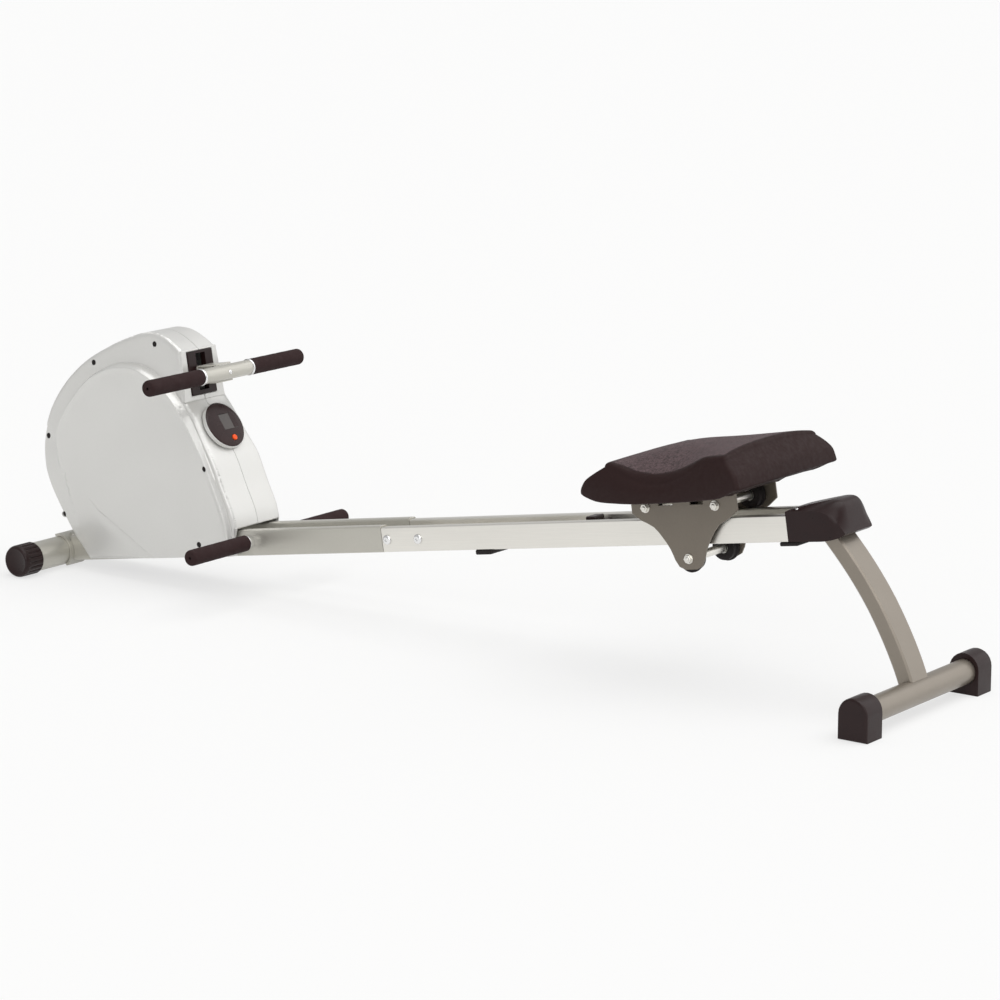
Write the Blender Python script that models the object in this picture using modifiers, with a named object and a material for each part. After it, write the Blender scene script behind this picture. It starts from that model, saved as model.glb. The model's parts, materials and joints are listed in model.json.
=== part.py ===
"""Seated row machine of the compact magnetic kind.

Metres, +Z up, floor at z = 0. The user faces -X, so the near side of the photograph
is -Y. Two frames carry the parts: the floor frame, whose x = 0 is the front
stabiliser's axis, and the rail frame, whose x runs up the tilted rails (s), whose
y is shared, and whose z stands square to the rails (n).
"""

import math

import bmesh
import bpy
from mathutils import Matrix, Vector

# Overall layout
LENGTH_SHIFT = 1.03871
RAIL_TILT = math.radians(8.961)
RAIL_ZERO_Z = 0.01135
GAP = 0.0003

# Front stabiliser and its rollers, in the floor frame
FRONT_AXIS_Z = 0.0345
FRONT_TUBE_R = 0.0312
ROLLER_CAP_R = 0.0345
ROLLER_CAP_Y = (0.1503, 0.200)
TUBE_WALL = 0.002
SADDLE_Y = (0.0140, 0.0660)
SADDLE_R = 0.0368
SADDLE_BOLT = 57.0

# Rails, in the rail frame
RAIL_OUT = 0.0582
RAIL_IN = 0.0351
FRONT_RAIL_N = (-0.0005, 0.0533)
FRONT_RAIL_S = (0.036, 0.8955)
REAR_RAIL_Y = (0.0357, 0.0576)
REAR_RAIL_N = (0.0, 0.050)
REAR_RAIL_S = (0.8960, 1.9300)
RAIL_WALL = 0.0018
SPIGOT_S = (0.8900, 1.030)
SPLICE_BOLTS = (0.909, 0.988)
RAIL_MID_N = 0.025

# Foot pegs
PEG_S = 0.546
PEG_N = 0.029
PEG_GRIP_R = 0.0165
PEG_END = 0.248

# Housing
HOUSE_HALF = 0.0735
HOUSE_PANEL = 0.0798
HOUSE_WALL = 0.003
HOUSE_LEAN = 0.0811
HOUSE_LEAN_N = 0.2014
HOUSE_FACE_S = 0.4200
HOUSE_PAD_N = (0.3245, 0.4320)
HOUSE_SCREWS = ((0.350, 0.451), (0.172, 0.422), (0.020, 0.273), (0.037, 0.103),
                (0.464, 0.187), (0.420, 0.029))

# Drive inside the housing
DRUM = (0.300, 0.345)
DRUM_R = 0.0312
FLYWHEEL = (0.235, 0.190)
FLYWHEEL_R = 0.125
PULLEY_R = 0.050
SMALL_PULLEY_R = 0.0175
BELT_Y = (0.0186, 0.0262)
GUIDE = (0.402, 0.3662)
GUIDE_R = 0.0100
STRAP_HALF = 0.0125

# Handle at rest
HANDLE = (0.4867, 0.3773)
HANDLE_R = 0.016
HANDLE_GRIP_R = 0.017
HANDLE_END = 0.240

# Round computer on the rear slope
COMPUTER = (0.458, 0.264)
COMPUTER_TILT = math.radians(64.86)
COMPUTER_R = 0.0525

# Seat carriage
CARRIAGE_S = 1.6445
PLATE_Y = (0.0665, 0.0700)
ROLLER_R = 0.0245
FLANGE_R = 0.0275
BOARD_N = (0.1043, 0.1093)
AXLES = {"front": (1.557, 0.0748), "rear": (1.715, 0.0748), "lower": (1.642, -0.0248)}

# Rear leg and stabiliser, in the floor frame
REAR_AXIS = (2.0824, 0.0438)
REAR_TUBE_R = 0.0241
FOOT_Y = (0.1743, 0.2285)
FOOT_HALF = 0.031
FOOT_HEIGHT = 0.0795
LEG_HALF_Y = 0.030
LEG_HALF_T = 0.016

# Colour, roughness and metallic value of each finish
FINISHES = {
    "champagne": ((186, 184, 172), 0.36, 0.6),
    "leg_paint": ((168, 159, 143), 0.36, 0.6),
    "aluminium": ((214, 211, 203), 0.32, 0.9),
    "silver_plastic": ((206, 206, 202), 0.36, 0.25),
    "dark_plastic": ((48, 36, 36), 0.45, 0.0),
    "face_plastic": ((40, 26, 28), 0.25, 0.0),
    "foam": ((60, 44, 46), 0.75, 0.0),
    "seat": ((78, 62, 66), 0.70, 0.0),
    "chrome": ((220, 220, 220), 0.12, 1.0),
    "plate_paint": ((112, 104, 94), 0.42, 0.5),
    "steel": ((150, 150, 150), 0.35, 1.0),
    "cast_iron": ((70, 70, 72), 0.55, 0.8),
    "rubber": ((28, 26, 26), 0.80, 0.0),
    "webbing": ((32, 30, 32), 0.85, 0.0),
    "orange": ((235, 88, 34), 0.40, 0.0),
    "lcd": ((96, 84, 80), 0.15, 0.0),
}

# Start from an empty scene
for old in list(bpy.data.objects):
    bpy.data.objects.remove(old, do_unlink=True)

machine = bpy.data.collections.new("seated_row_machine")
bpy.context.scene.collection.children.link(machine)
cutters = bpy.data.collections.new("cutters")
bpy.context.scene.collection.children.link(cutters)

LIE = {"X": (0.0, math.pi / 2, 0.0), "Y": (-math.pi / 2, 0.0, 0.0), "Z": (0.0, 0.0, 0.0)}
STAND = {"X": (math.pi / 2, 0.0, math.pi / 2), "Y": (math.pi / 2, 0.0, 0.0), "Z": (0.0, 0.0, 0.0)}


# Frames that the parts are parented to
def add_frame(name, location, rotation=(0.0, 0.0, 0.0), parent=None):
    frame = bpy.data.objects.new(name, None)
    frame.empty_display_size = 0.05
    frame.parent = parent
    frame.location = location
    frame.rotation_euler = rotation
    machine.objects.link(frame)
    return frame


# Colour helpers
def linear(channel):
    value = channel / 255.0
    if value <= 0.04045:
        return value / 12.92
    return ((value + 0.055) / 1.055) ** 2.4


def paint(part, look):
    colour, roughness, metallic = FINISHES[look]
    material = bpy.data.materials.new(part.name + "_finish")
    material.use_nodes = True
    shader = material.node_tree.nodes["Principled BSDF"]
    shader.inputs["Base Color"].default_value = [linear(c) for c in colour] + [1.0]
    shader.inputs["Roughness"].default_value = roughness
    shader.inputs["Metallic"].default_value = metallic
    part.data.materials.clear()
    part.data.materials.append(material)


# Objects and meshes
def add_part(name, mesh, parent, look, location=(0.0, 0.0, 0.0), rotation=(0.0, 0.0, 0.0)):
    part = bpy.data.objects.new(name, mesh)
    machine.objects.link(part)
    part.parent = parent
    part.location = location
    part.rotation_euler = rotation
    mesh.shade_smooth()
    mesh.set_sharp_from_angle(angle=math.radians(32))
    if look:
        paint(part, look)
    return part


def evaluated_mesh(part):
    bpy.context.view_layer.update()
    graph = bpy.context.evaluated_depsgraph_get()
    return bpy.data.meshes.new_from_object(part.evaluated_get(graph))


def tidy_mesh(mesh, merge=True):
    work = bmesh.new()
    work.from_mesh(mesh)
    if merge:
        bmesh.ops.remove_doubles(work, verts=work.verts, dist=0.00001)
    bmesh.ops.recalc_face_normals(work, faces=work.faces)
    work.to_mesh(mesh)
    work.free()
    return mesh


def curve_mesh(name, curve):
    holder = bpy.data.objects.new(name + "_curve", curve)
    machine.objects.link(holder)
    mesh = evaluated_mesh(holder)
    bpy.data.objects.remove(holder, do_unlink=True)
    mesh.name = name
    return tidy_mesh(mesh)


def outline_mesh(name, loops, depth):
    curve = bpy.data.curves.new(name + "_outline", "CURVE")
    curve.dimensions = "2D"
    curve.fill_mode = "BOTH"
    curve.extrude = depth / 2
    for loop in loops:
        spline = curve.splines.new("POLY")
        spline.points.add(len(loop) - 1)
        for point, (u, v) in zip(spline.points, loop):
            point.co = (u, v, 0.0, 1.0)
        spline.use_cyclic_u = True
    return curve_mesh(name, curve)


def plate(name, loops, low, high, parent, look, axis="Y", edge=0.0, steps=2):
    """An outline extruded from low to high along an axis, with its loops' holes."""
    mesh = outline_mesh(name, loops, high - low)
    where = {"X": (1, 0, 0), "Y": (0, 1, 0), "Z": (0, 0, 1)}[axis]
    middle = Vector(where) * (low + high) / 2
    part = add_part(name, mesh, parent, look, middle, STAND[axis])
    if edge:
        round_edges(part, edge, steps)
    return part


def box(name, low, high, parent, look, edge=0.0, steps=2):
    low, high = Vector(low), Vector(high)
    mesh = bpy.data.meshes.new(name)
    work = bmesh.new()
    bmesh.ops.create_cube(work, size=1.0)
    bmesh.ops.scale(work, vec=high - low, verts=work.verts)
    work.to_mesh(mesh)
    work.free()
    part = add_part(name, mesh, parent, look, (low + high) / 2)
    if edge:
        round_edges(part, edge, steps)
    return part


def rod(name, radius, low, high, parent, look, centre=(0.0, 0.0), axis="Y", sides=24):
    """A solid cylinder along Y through (x, z), or along X or Z the same way."""
    mesh = bpy.data.meshes.new(name)
    work = bmesh.new()
    bmesh.ops.create_cone(work, cap_ends=True, segments=sides, radius1=radius,
                          radius2=radius, depth=high - low)
    work.to_mesh(mesh)
    work.free()
    middle = (low + high) / 2
    a, b = centre
    where = {"X": (middle, a, b), "Y": (a, middle, b), "Z": (a, b, middle)}[axis]
    return add_part(name, mesh, parent, look, where, LIE[axis])


def lathe(name, profile, parent, look, location=(0.0, 0.0, 0.0), axis="Y", steps=32, ring=False):
    """A turned part: profile points are (radius, height along the axis)."""
    area = sum(a[0] * b[1] - b[0] * a[1] for a, b in zip(profile, profile[1:] + profile[:1]))
    if area > 0:
        profile = profile[::-1]
    mesh = bpy.data.meshes.new(name)
    work = bmesh.new()
    points = [work.verts.new((r, 0.0, h)) for r, h in profile]
    for a, b in zip(points, points[1:]):
        work.edges.new((a, b))
    if ring:
        work.edges.new((points[-1], points[0]))
    work.to_mesh(mesh)
    work.free()
    part = add_part(name, mesh, parent, look, location, LIE[axis])
    turn = part.modifiers.new("Turn", "SCREW")
    turn.axis = "Z"
    turn.angle = 2 * math.pi
    turn.steps = steps
    turn.render_steps = steps
    turn.use_merge_vertices = True
    turn.merge_threshold = 0.00001
    turn.use_smooth_shade = True
    return part


def tube_path(name, points, radius, parent, look, sides=2):
    curve = bpy.data.curves.new(name + "_path", "CURVE")
    curve.dimensions = "3D"
    curve.bevel_depth = radius
    curve.bevel_resolution = sides
    curve.use_fill_caps = True
    spline = curve.splines.new("POLY")
    spline.points.add(len(points) - 1)
    for point, where in zip(spline.points, points):
        point.co = (*where, 1.0)
    return add_part(name, curve_mesh(name, curve), parent, look)


def round_edges(part, width, steps=2, angle=40.0):
    bevel = part.modifiers.new("Edges", "BEVEL")
    bevel.width = width
    bevel.segments = steps
    bevel.limit_method = "ANGLE"
    bevel.angle_limit = math.radians(angle)
    bevel.use_clamp_overlap = True
    return part


def bake(part):
    """Keep the evaluated shape as the part's own mesh."""
    mesh = evaluated_mesh(part)
    part.modifiers.clear()
    part.data = mesh
    return part


def boolean(part, tool, operation):
    step = part.modifiers.new(operation.title(), "BOOLEAN")
    step.operation = operation
    step.solver = "EXACT"
    step.object = tool
    for holder in list(tool.users_collection):
        holder.objects.unlink(tool)
    cutters.objects.link(tool)
    tool.hide_render = True
    tool.display_type = "WIRE"
    return part


def cut(part, *tools):
    for tool in tools:
        boolean(part, tool, "DIFFERENCE")
    return part


def fuse(part, *tools):
    for tool in tools:
        boolean(part, tool, "UNION")
    return part


def settle(part):
    """Bake a part with Booleans and drop the tools that only it used."""
    tools = [m.object for m in part.modifiers if m.type == "BOOLEAN"]
    look = [m for m in part.data.materials]
    bake(part)
    part.data.materials.clear()
    if look:
        part.data.materials.append(look[0])
    part.data.shade_smooth()
    part.data.set_sharp_from_angle(angle=math.radians(32))
    for tool in set(tools):
        bpy.data.objects.remove(tool, do_unlink=True)
    return part


def mirrored(source, name, look):
    """The same piece on the other side of the machine."""
    mesh = evaluated_mesh(source)
    mesh.transform(Matrix.Diagonal((1.0, -1.0, 1.0, 1.0)) @ source.matrix_local)
    mesh.flip_normals()
    x, y, z = source.location
    mesh.transform(Matrix.Translation((-x, y, -z)))
    return add_part(name, mesh, source.parent, look, (x, -y, z))


# Outlines
def smooth(points, per=4):
    """A smooth curve through the points, in pieces of third degree."""
    line = []
    last = len(points) - 1
    for i in range(last):
        a = Vector(points[max(i - 1, 0)])
        b = Vector(points[i])
        c = Vector(points[i + 1])
        d = Vector(points[min(i + 2, last)])
        for k in range(per):
            t = k / per
            p = b * 2 + (c - a) * t + (a * 2 - b * 5 + c * 4 - d) * t * t
            p += (b * 3 - a - c * 3 + d) * t ** 3
            line.append(tuple(p / 2))
    line.append(tuple(points[-1]))
    return line


def arc(centre, radius, start, end, count):
    angles = [math.radians(start + (end - start) * k / (count - 1)) for k in range(count)]
    return [(centre[0] + radius * math.cos(a), centre[1] + radius * math.sin(a)) for a in angles]


def circle(centre, radius, count=16):
    return arc(centre, radius, 0, 360 * (count - 1) / count, count)


def rectangle(low, high, radius=0.0, count=4):
    (u0, v0), (u1, v1) = low, high
    if radius <= 0:
        return [(u0, v0), (u1, v0), (u1, v1), (u0, v1)]
    line = arc((u1 - radius, v0 + radius), radius, -90, 0, count)
    line += arc((u1 - radius, v1 - radius), radius, 0, 90, count)
    line += arc((u0 + radius, v1 - radius), radius, 90, 180, count)
    line += arc((u0 + radius, v0 + radius), radius, 180, 270, count)
    return line


def inset(loop, amount):
    """The loop moved inwards; the loop runs counter-clockwise or clockwise."""
    area = sum(a[0] * b[1] - b[0] * a[1] for a, b in zip(loop, loop[1:] + loop[:1]))
    side = 1.0 if area > 0 else -1.0
    moved = []
    for i, point in enumerate(loop):
        before = Vector(loop[i - 1])
        here = Vector(point)
        after = Vector(loop[(i + 1) % len(loop)])
        one = (here - before).normalized()
        two = (after - here).normalized()
        normal_one = Vector((-one.y, one.x)) * side
        normal_two = Vector((-two.y, two.x)) * side
        mitre = (normal_one + normal_two).normalized()
        reach = amount / max(mitre.dot(normal_one), 0.5)
        moved.append(tuple(here + mitre * reach))
    return moved


def round_outer_rim(part, axis, level, width, steps):
    """Round only the rim of the face that lies at the given level."""
    mesh = part.data
    work = bmesh.new()
    work.from_mesh(mesh)
    bmesh.ops.dissolve_limit(work, angle_limit=0.001, verts=work.verts, edges=work.edges)
    rim = []
    for edge in work.edges:
        flat = all(abs(v.co[axis] - level) < 0.0001 for v in edge.verts)
        if flat and edge.is_manifold and edge.calc_face_angle() > 0.5:
            rim.append(edge)
    bmesh.ops.bevel(work, geom=rim, offset=width, segments=steps, profile=0.5,
                    affect="EDGES", clamp_overlap=True)
    work.to_mesh(mesh)
    work.free()
    return part


floor = add_frame("floor_frame", (-LENGTH_SHIFT, 0.0, 0.0))
rail = add_frame("rail_frame", (-LENGTH_SHIFT, 0.0, RAIL_ZERO_Z), (0.0, -RAIL_TILT, 0.0))


# Front stabiliser: tube, two saddles that carry the rails, and end plugs
def front_stabiliser():
    axis = add_frame("front_axis", (0.0, 0.0, FRONT_AXIS_Z), parent=floor)
    inner = FRONT_TUBE_R - TUBE_WALL
    tube = lathe("front_stabilizer_tube", [(inner, -0.150), (FRONT_TUBE_R, -0.150),
                 (FRONT_TUBE_R, 0.150), (inner, 0.150)], axis, "champagne", steps=26, ring=True)
    lean = math.radians(SADDLE_BOLT)
    reach = (math.cos(lean), math.sin(lean))
    for side in (-1, 1):
        hole = rod("hole", 0.0044, 0.0, 0.05, axis, None, axis="Z", sides=10)
        hole.location = (0.025 * reach[0], 0.040 * side, 0.025 * reach[1])
        hole.rotation_euler = (0.0, math.pi / 2 - lean, 0.0)
        cut(tube, hole)
    settle(tube)

    for side, name in ((-1, "front_saddle_left"), (1, "front_saddle_right")):
        low, high = sorted((side * SADDLE_Y[0], side * SADDLE_Y[1]))
        wrap = arc((0, 0), SADDLE_R, -56, 108, 14)
        wrap += arc((0, 0), FRONT_TUBE_R + GAP * 2, 108, -56, 14)
        saddle = plate(name, [wrap], low, high, axis, "champagne")
        seat = SADDLE_R - GAP
        bolt = lathe("bolt", [(0.0, -0.014), (0.004, -0.014), (0.004, -0.001), (0.0105, -0.001),
                     (0.0105, 0.0018), (0.0075, 0.0020), (0.0075, 0.0048), (0.0055, 0.0069),
                     (0.0, 0.0075)], axis, None, axis="Z", steps=12)
        bolt.location = (seat * reach[0], 0.040 * side, seat * reach[1])
        bolt.rotation_euler = (0.0, math.pi / 2 - lean, 0.0)
        settle(fuse(saddle, bolt))

    # One axle through both end plugs, with a stub for each transport roller
    half = [(0.0, 0.1885), (0.006, 0.1885), (0.006, 0.1500), (0.012, 0.1500), (0.012, 0.1495),
            (inner - GAP, 0.1492), (inner - GAP, 0.128), (0.006, 0.128)]
    profile = half + [(r, -h) for r, h in reversed(half)]
    lathe("stabilizer_axle", profile, axis, "dark_plastic", steps=12)


# The transport rollers at the stabiliser's ends, ribbed all round
def transport_roller(name, side):
    axis = add_frame(name + "_axis", (0.0, 0.0, FRONT_AXIS_Z), parent=floor)
    ribs = 18
    outline = []
    for k in range(ribs * 4):
        lift = (0.0, 0.0, -0.0016, -0.0016)[k % 4]
        angle = 2 * math.pi * (k + 0.5) / (ribs * 4)
        radius = ROLLER_CAP_R + lift
        outline.append((radius * math.cos(angle), radius * math.sin(angle)))
    low, high = sorted((side * ROLLER_CAP_Y[0], side * (ROLLER_CAP_Y[1] - 0.005)))
    part = plate(name, [outline], low, high, axis, "dark_plastic")
    face = ROLLER_CAP_R - 0.0022
    end = [(0.0, 0.186), (face, 0.186), (face, 0.1972), (face - 0.0035, 0.200), (0.0, 0.200)]
    nose = lathe("nose", [(r, side * h) for r, h in end], axis, None, steps=24)
    bore = rod("bore", 0.0063, *sorted((side * 0.14, side * 0.190)), axis, None, sides=12)
    fuse(part, nose)
    cut(part, bore)
    return settle(part)


# Twin rails: painted front tubes with a welded spigot each, and aluminium rear tubes
def spigot_section():
    low = -REAR_RAIL_Y[1] + RAIL_WALL + GAP
    high = -REAR_RAIL_Y[0] - RAIL_WALL - GAP
    return (low, RAIL_WALL + GAP), (high, REAR_RAIL_N[1] - RAIL_WALL - GAP)


def front_rail():
    low, high = -RAIL_OUT, -RAIL_IN
    n0, n1 = FRONT_RAIL_N
    outer = rectangle((low, n0), (high, n1), 0.004, 3)
    bore = rectangle((low + RAIL_WALL, n0 + RAIL_WALL), (high - RAIL_WALL, n1 - RAIL_WALL))
    part = plate("front_rail_left", [outer, bore], *FRONT_RAIL_S, rail, "champagne", axis="X")
    lap = RAIL_WALL - 0.0004
    fuse(part, box("plug", (FRONT_RAIL_S[1] - 0.012, low + lap, n0 + lap),
                   (FRONT_RAIL_S[1] - 0.001, high - lap, n1 - lap), rail, None))
    (y0, v0), (y1, v1) = spigot_section()
    loops = [rectangle((y0, v0), (y1, v1)),
             rectangle((y0 + 0.002, v0 + 0.002), (y1 - 0.002, v1 - 0.002))]
    fuse(part, plate("spigot", loops, *SPIGOT_S, rail, None, axis="X"))
    for s in SPLICE_BOLTS:
        cut(part, rod("hole", 0.0044, -0.07, 0.0, rail, None, centre=(s, RAIL_MID_N), sides=10))
    cope = rod("cope", SADDLE_R + GAP, -0.07, 0.0, floor, None, centre=(0.0, FRONT_AXIS_Z), sides=32)
    notch = rod("bolt_room", 0.0120, 0.028, 0.070, floor, None, axis="Z", sides=16)
    lean = math.radians(SADDLE_BOLT)
    notch.location = (0.049 * math.cos(lean), -0.040, FRONT_AXIS_Z + 0.049 * math.sin(lean))
    notch.rotation_euler = (0.0, math.pi / 2 - lean, 0.0)
    cut(part, notch)
    peg = rod("peg_hole", 0.0065, -0.07, 0.0, rail, None, centre=(PEG_S, PEG_N), sides=12)
    settle(cut(part, cope, peg))
    mirrored(part, "front_rail_right", "champagne")


def rear_rail():
    low, high = -REAR_RAIL_Y[1], -REAR_RAIL_Y[0]
    n0, n1 = REAR_RAIL_N
    wall = RAIL_WALL
    outer = rectangle((low, n0), (high, n1), 0.0025, 3)
    bore = rectangle((low + wall, n0 + wall), (high - wall, n1 - wall))
    part = plate("rear_rail_left", [outer, bore], *REAR_RAIL_S, rail, "aluminium", axis="X")
    for s in SPLICE_BOLTS:
        cut(part, rod("hole", 0.0044, -0.07, 0.0, rail, None, centre=(s, RAIL_MID_N), sides=10))
    settle(part)
    mirrored(part, "rear_rail_right", "aluminium")

    face = REAR_RAIL_Y[1] + GAP
    half = [(0.0, face + 0.0018), (0.0030, face + 0.0018), (0.0034, face + 0.0044),
            (0.0072, face + 0.0040), (0.0096, face + 0.0022), (0.0100, face), (0.004, face)]
    profile = half + [(r, -h) for r, h in reversed(half)]
    for s, name in zip(SPLICE_BOLTS, ("splice_bolt_front", "splice_bolt_rear")):
        lathe(name, profile, rail, "chrome", (s, 0.0, RAIL_MID_N), steps=10)


# The cross brace between the rails, stops and bumpers under them
def rail_fittings():
    reach = REAR_RAIL_Y[0] - GAP
    brace = box("rail_cross_brace", (1.370, -reach, 0.010), (1.402, reach, 0.042), rail,
                "dark_plastic", edge=0.002, steps=1)
    fuse(brace, box("block", (1.375, -0.0175, 0.030), (1.397, 0.0175, 0.0530), rail, None,
                    edge=0.0020, steps=1))
    pocket = box("pocket", (1.3735, -reach + 0.005, 0.0), (1.3985, reach - 0.005, 0.0375), rail, None)
    settle(cut(brace, pocket))
    box("front_travel_stop", (1.127, -0.0570, -0.010), (1.165, 0.0570, -GAP), rail, "rubber",
        edge=0.002, steps=1)
    box("rear_bumper", (1.839, -0.0570, -0.008), (1.8785, 0.0570, -GAP), rail, "rubber", edge=0.002,
        steps=1)


# Foot pegs: one rod through both rails, foam grips, collars and nuts
def foot_pegs():
    here = add_frame("peg_axis", (PEG_S, 0.0, PEG_N), parent=rail)
    half = [(0.0, 0.2370), (0.0125, 0.2370), (0.0125, 0.0742), (0.0150, 0.0730),
            (0.0150, 0.0695), (0.0135, 0.0683), (0.006, 0.0683)]
    rod_part = lathe("footrest_rod", half + [(r, -h) for r, h in reversed(half)], here, "steel",
                     steps=12)
    for side in (-1, 1):
        low, high = sorted((side * (RAIL_OUT + GAP), side * 0.0686))
        fuse(rod_part, rod("nut", 0.0138, low, high, here, None, sides=6))
    settle(rod_part)
    for side, name in ((-1, "footrest_grip_left"), (1, "footrest_grip_right")):
        end = PEG_END
        profile = [(0.0129, 0.0748), (PEG_GRIP_R, 0.0748), (PEG_GRIP_R, end - 0.007),
                   (PEG_GRIP_R - 0.0022, end - 0.0025), (PEG_GRIP_R - 0.006, end), (0.0032, end),
                   (0.0032, 0.2378), (0.0129, 0.2378)]
        lathe(name, [(r, side * h) for r, h in profile], here, "foam", steps=16, ring=True)


# The housing: two moulded half shells that meet on the middle plane
def house_outline():
    """The shell's side view, front bottom corner first, then over the top."""
    crown = smooth([(0.058, 0.055), (0.030, 0.115), (0.009, 0.168), (0.001, 0.214), (0.006, 0.268),
                    (0.031, 0.328), (0.080, 0.383), (0.146, 0.4265), (0.226, 0.4563),
                    (0.286, 0.4712), (0.322, 0.4762), (0.345, 0.4750), (0.371, 0.4680),
                    (0.397, 0.4520), (HOUSE_FACE_S, HOUSE_PAD_N[1])], 2)
    slope = smooth([(0.4245, 0.3205), (0.445, 0.289), (0.466, 0.243), (0.488, 0.197),
                    (0.503, 0.143), (0.519, 0.090), (0.522, 0.058)], 2)
    return ([(0.093, 0.003)] + crown + [(HOUSE_FACE_S, HOUSE_PAD_N[0] + 0.0015)]
            + slope + [(0.515, 0.040), (0.513, 0.002)])


def panel_outline():
    """The raised side panel, bounded by its swept upper edge and the front crease."""
    sweep = smooth([(0.149, 0.109), (0.092, 0.178), (0.058, 0.232), (0.065, 0.279), (0.095, 0.320),
                    (0.133, 0.353), (0.175, 0.382), (0.225, 0.399), (0.268, 0.402),
                    (0.315, 0.392), (0.375, 0.350), (0.412, 0.300), (0.437, 0.252),
                    (0.461, 0.195), (0.478, 0.137), (0.494, 0.072)], 2)
    return [(0.290, 0.008)] + sweep + [(0.498, 0.008)]


def wall_y(n):
    """Where the near wall stands above the panel: its upper part leans inwards."""
    return -HOUSE_HALF + HOUSE_LEAN * max(0.0, n - HOUSE_LEAN_N)


def leaning_cutter(name, clear):
    """What lies outside the leaning wall, moved inwards by a clearance."""
    top = 0.52
    wedge = [(wall_y(HOUSE_LEAN_N) + clear, HOUSE_LEAN_N), (wall_y(top) + clear, top),
             (-0.12, top), (-0.12, HOUSE_LEAN_N)]
    return plate(name, [wedge], -0.05, 0.60, rail, None, axis="X")


def round_side_rim(part, width, steps):
    """Round the edges where the near side meets the crown."""
    work = bmesh.new()
    work.from_mesh(part.data)
    bmesh.ops.dissolve_limit(work, angle_limit=0.001, verts=work.verts, edges=work.edges)
    turn = part.matrix_local.to_3x3()
    rim = []
    for edge in work.edges:
        if len(edge.link_faces) == 2:
            facing = sorted((turn @ face.normal).y for face in edge.link_faces)
            if facing[0] < -0.95 and abs(facing[1]) < 0.30:
                rim.append(edge)
    bmesh.ops.bevel(work, geom=rim, offset=width, segments=steps, profile=0.5,
                    affect="EDGES", clamp_overlap=True)
    work.to_mesh(part.data)
    work.free()
    return part


def housing():
    outline = house_outline()
    panel = panel_outline()
    half = HOUSE_HALF
    wall = HOUSE_WALL
    shell = plate("housing_left", [outline], -half, -GAP / 2, rail, "silver_plastic")
    settle(cut(shell, leaning_cutter("lean", 0.0)))
    round_side_rim(shell, 0.008, 2)

    # Below the leaning wall the side stands upright, as a ledge round the raised panel
    grown = [(s, n) for s, n in inset(panel, -0.0125) if n > 0.190]
    ledge = plate("ledge", [grown], -half, -0.0447, rail, None)
    round_outer_rim(ledge, 2, (half - 0.0447) / 2, 0.0028, 1)
    fuse(shell, ledge)
    raised = plate("raised", [panel], -HOUSE_PANEL, -half + 0.004, rail, None)
    round_outer_rim(raised, 2, (HOUSE_PANEL - half + 0.004) / 2, 0.0042, 2)
    fuse(shell, raised)

    # The rolled bead that follows the panel's swept edge down to the rear corner
    line = inset(panel, -0.0065)[4:-1]
    path = [(s, -half - 0.0012, n) for s, n in line]
    fuse(shell, tube_path("bead", path, 0.0050, rail, None, sides=0))

    # The raised pad round the strap's bezel, narrower towards the top
    low, high = HOUSE_PAD_N
    pad = [(-GAP / 2, low), (-GAP / 2, high), (wall_y(high), high), (wall_y(low), low)]
    fuse(shell, plate("pad", [pad], HOUSE_FACE_S - 0.004, HOUSE_FACE_S + 0.0025, rail, None, axis="X",
                      edge=0.0016, steps=1))
    settle(shell)

    # The hollow, open below, and the hollows behind the ledge and the raised panel
    hollow = inset(outline, wall)
    hollow = hollow[1:-2]
    hollow = [(0.100, -0.02)] + hollow + [(0.5095, -0.02)]
    inner = plate("hollow", [hollow], -half + wall, 0.01, rail, None)
    cut(shell, settle(cut(inner, leaning_cutter("inner_lean", wall))))
    under = [(s, n) for s, n in inset(panel, wall - 0.0125) if n > 0.193]
    cut(shell, plate("under", [under], -half + wall + 0.0006, -0.040, rail, None))
    behind = inset(panel, wall + 0.0025)
    behind[0] = (0.300, -0.02)
    behind[-1] = (0.4925, -0.02)
    cut(shell, plate("behind", [behind], -HOUSE_PANEL + wall, -half + 0.006, rail, None))

    # Ways through for the rails, the rear foot of the shell, and the bezel
    cut(shell, box("way_in", (0.02, -RAIL_OUT - 0.0010, -0.02), (0.13, -RAIL_IN + 0.0010, 0.0545),
                   rail, None))
    cut(shell, box("way_out", (0.49, -half + 0.0033, -0.03), (0.55, 0.01, 0.0556), rail, None))
    cut(shell, box("window", (0.40, -0.0393, 0.3357), (0.45, 0.01, 0.4273), rail, None))
    settle(shell)

    # Screw posts that meet on the middle plane, with a sunk seat for each head
    for s, n in HOUSE_SCREWS:
        inside = -0.0588 if n < 0.06 else -GAP / 2
        start = -HOUSE_PANEL + 0.002 if (s > 0.40 and n < 0.30) else wall_y(n) + 0.001
        fuse(shell, rod("post", 0.0072, start, inside, rail, None, centre=(s, n), sides=10))
    for s, n in HOUSE_SCREWS:
        cut(shell, rod("seat", 0.0048, -0.09, wall_y(n) + 0.0075, rail, None, centre=(s, n), sides=10))
    settle(shell)
    mirrored(shell, "housing_right", "silver_plastic")


# The bezel that the strap leaves by, with ears and a pin for the guide roller
def bezel():
    part = box("strap_bezel", (0.4125, -0.0390, 0.336), (0.4250, 0.0390, 0.427), rail,
               "dark_plastic", edge=0.0012, steps=1)
    cut(part, box("slot", (0.40, -0.0145, 0.345), (0.44, 0.0145, 0.422), rail, None))
    settle(part)
    for side in (-1, 1):
        low, high = sorted((side * 0.0165, side * 0.0200))
        ear = [(0.4135, 0.350)] + arc((GUIDE[0], GUIDE[1]), 0.0085, 270, 90, 9) + [(0.4135, 0.382)]
        fuse(part, plate("ear", [ear], low, high, rail, None))
    fuse(part, rod("pin", 0.0040, -0.0180, 0.0180, rail, None, centre=GUIDE, sides=10))
    return settle(part)


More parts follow.
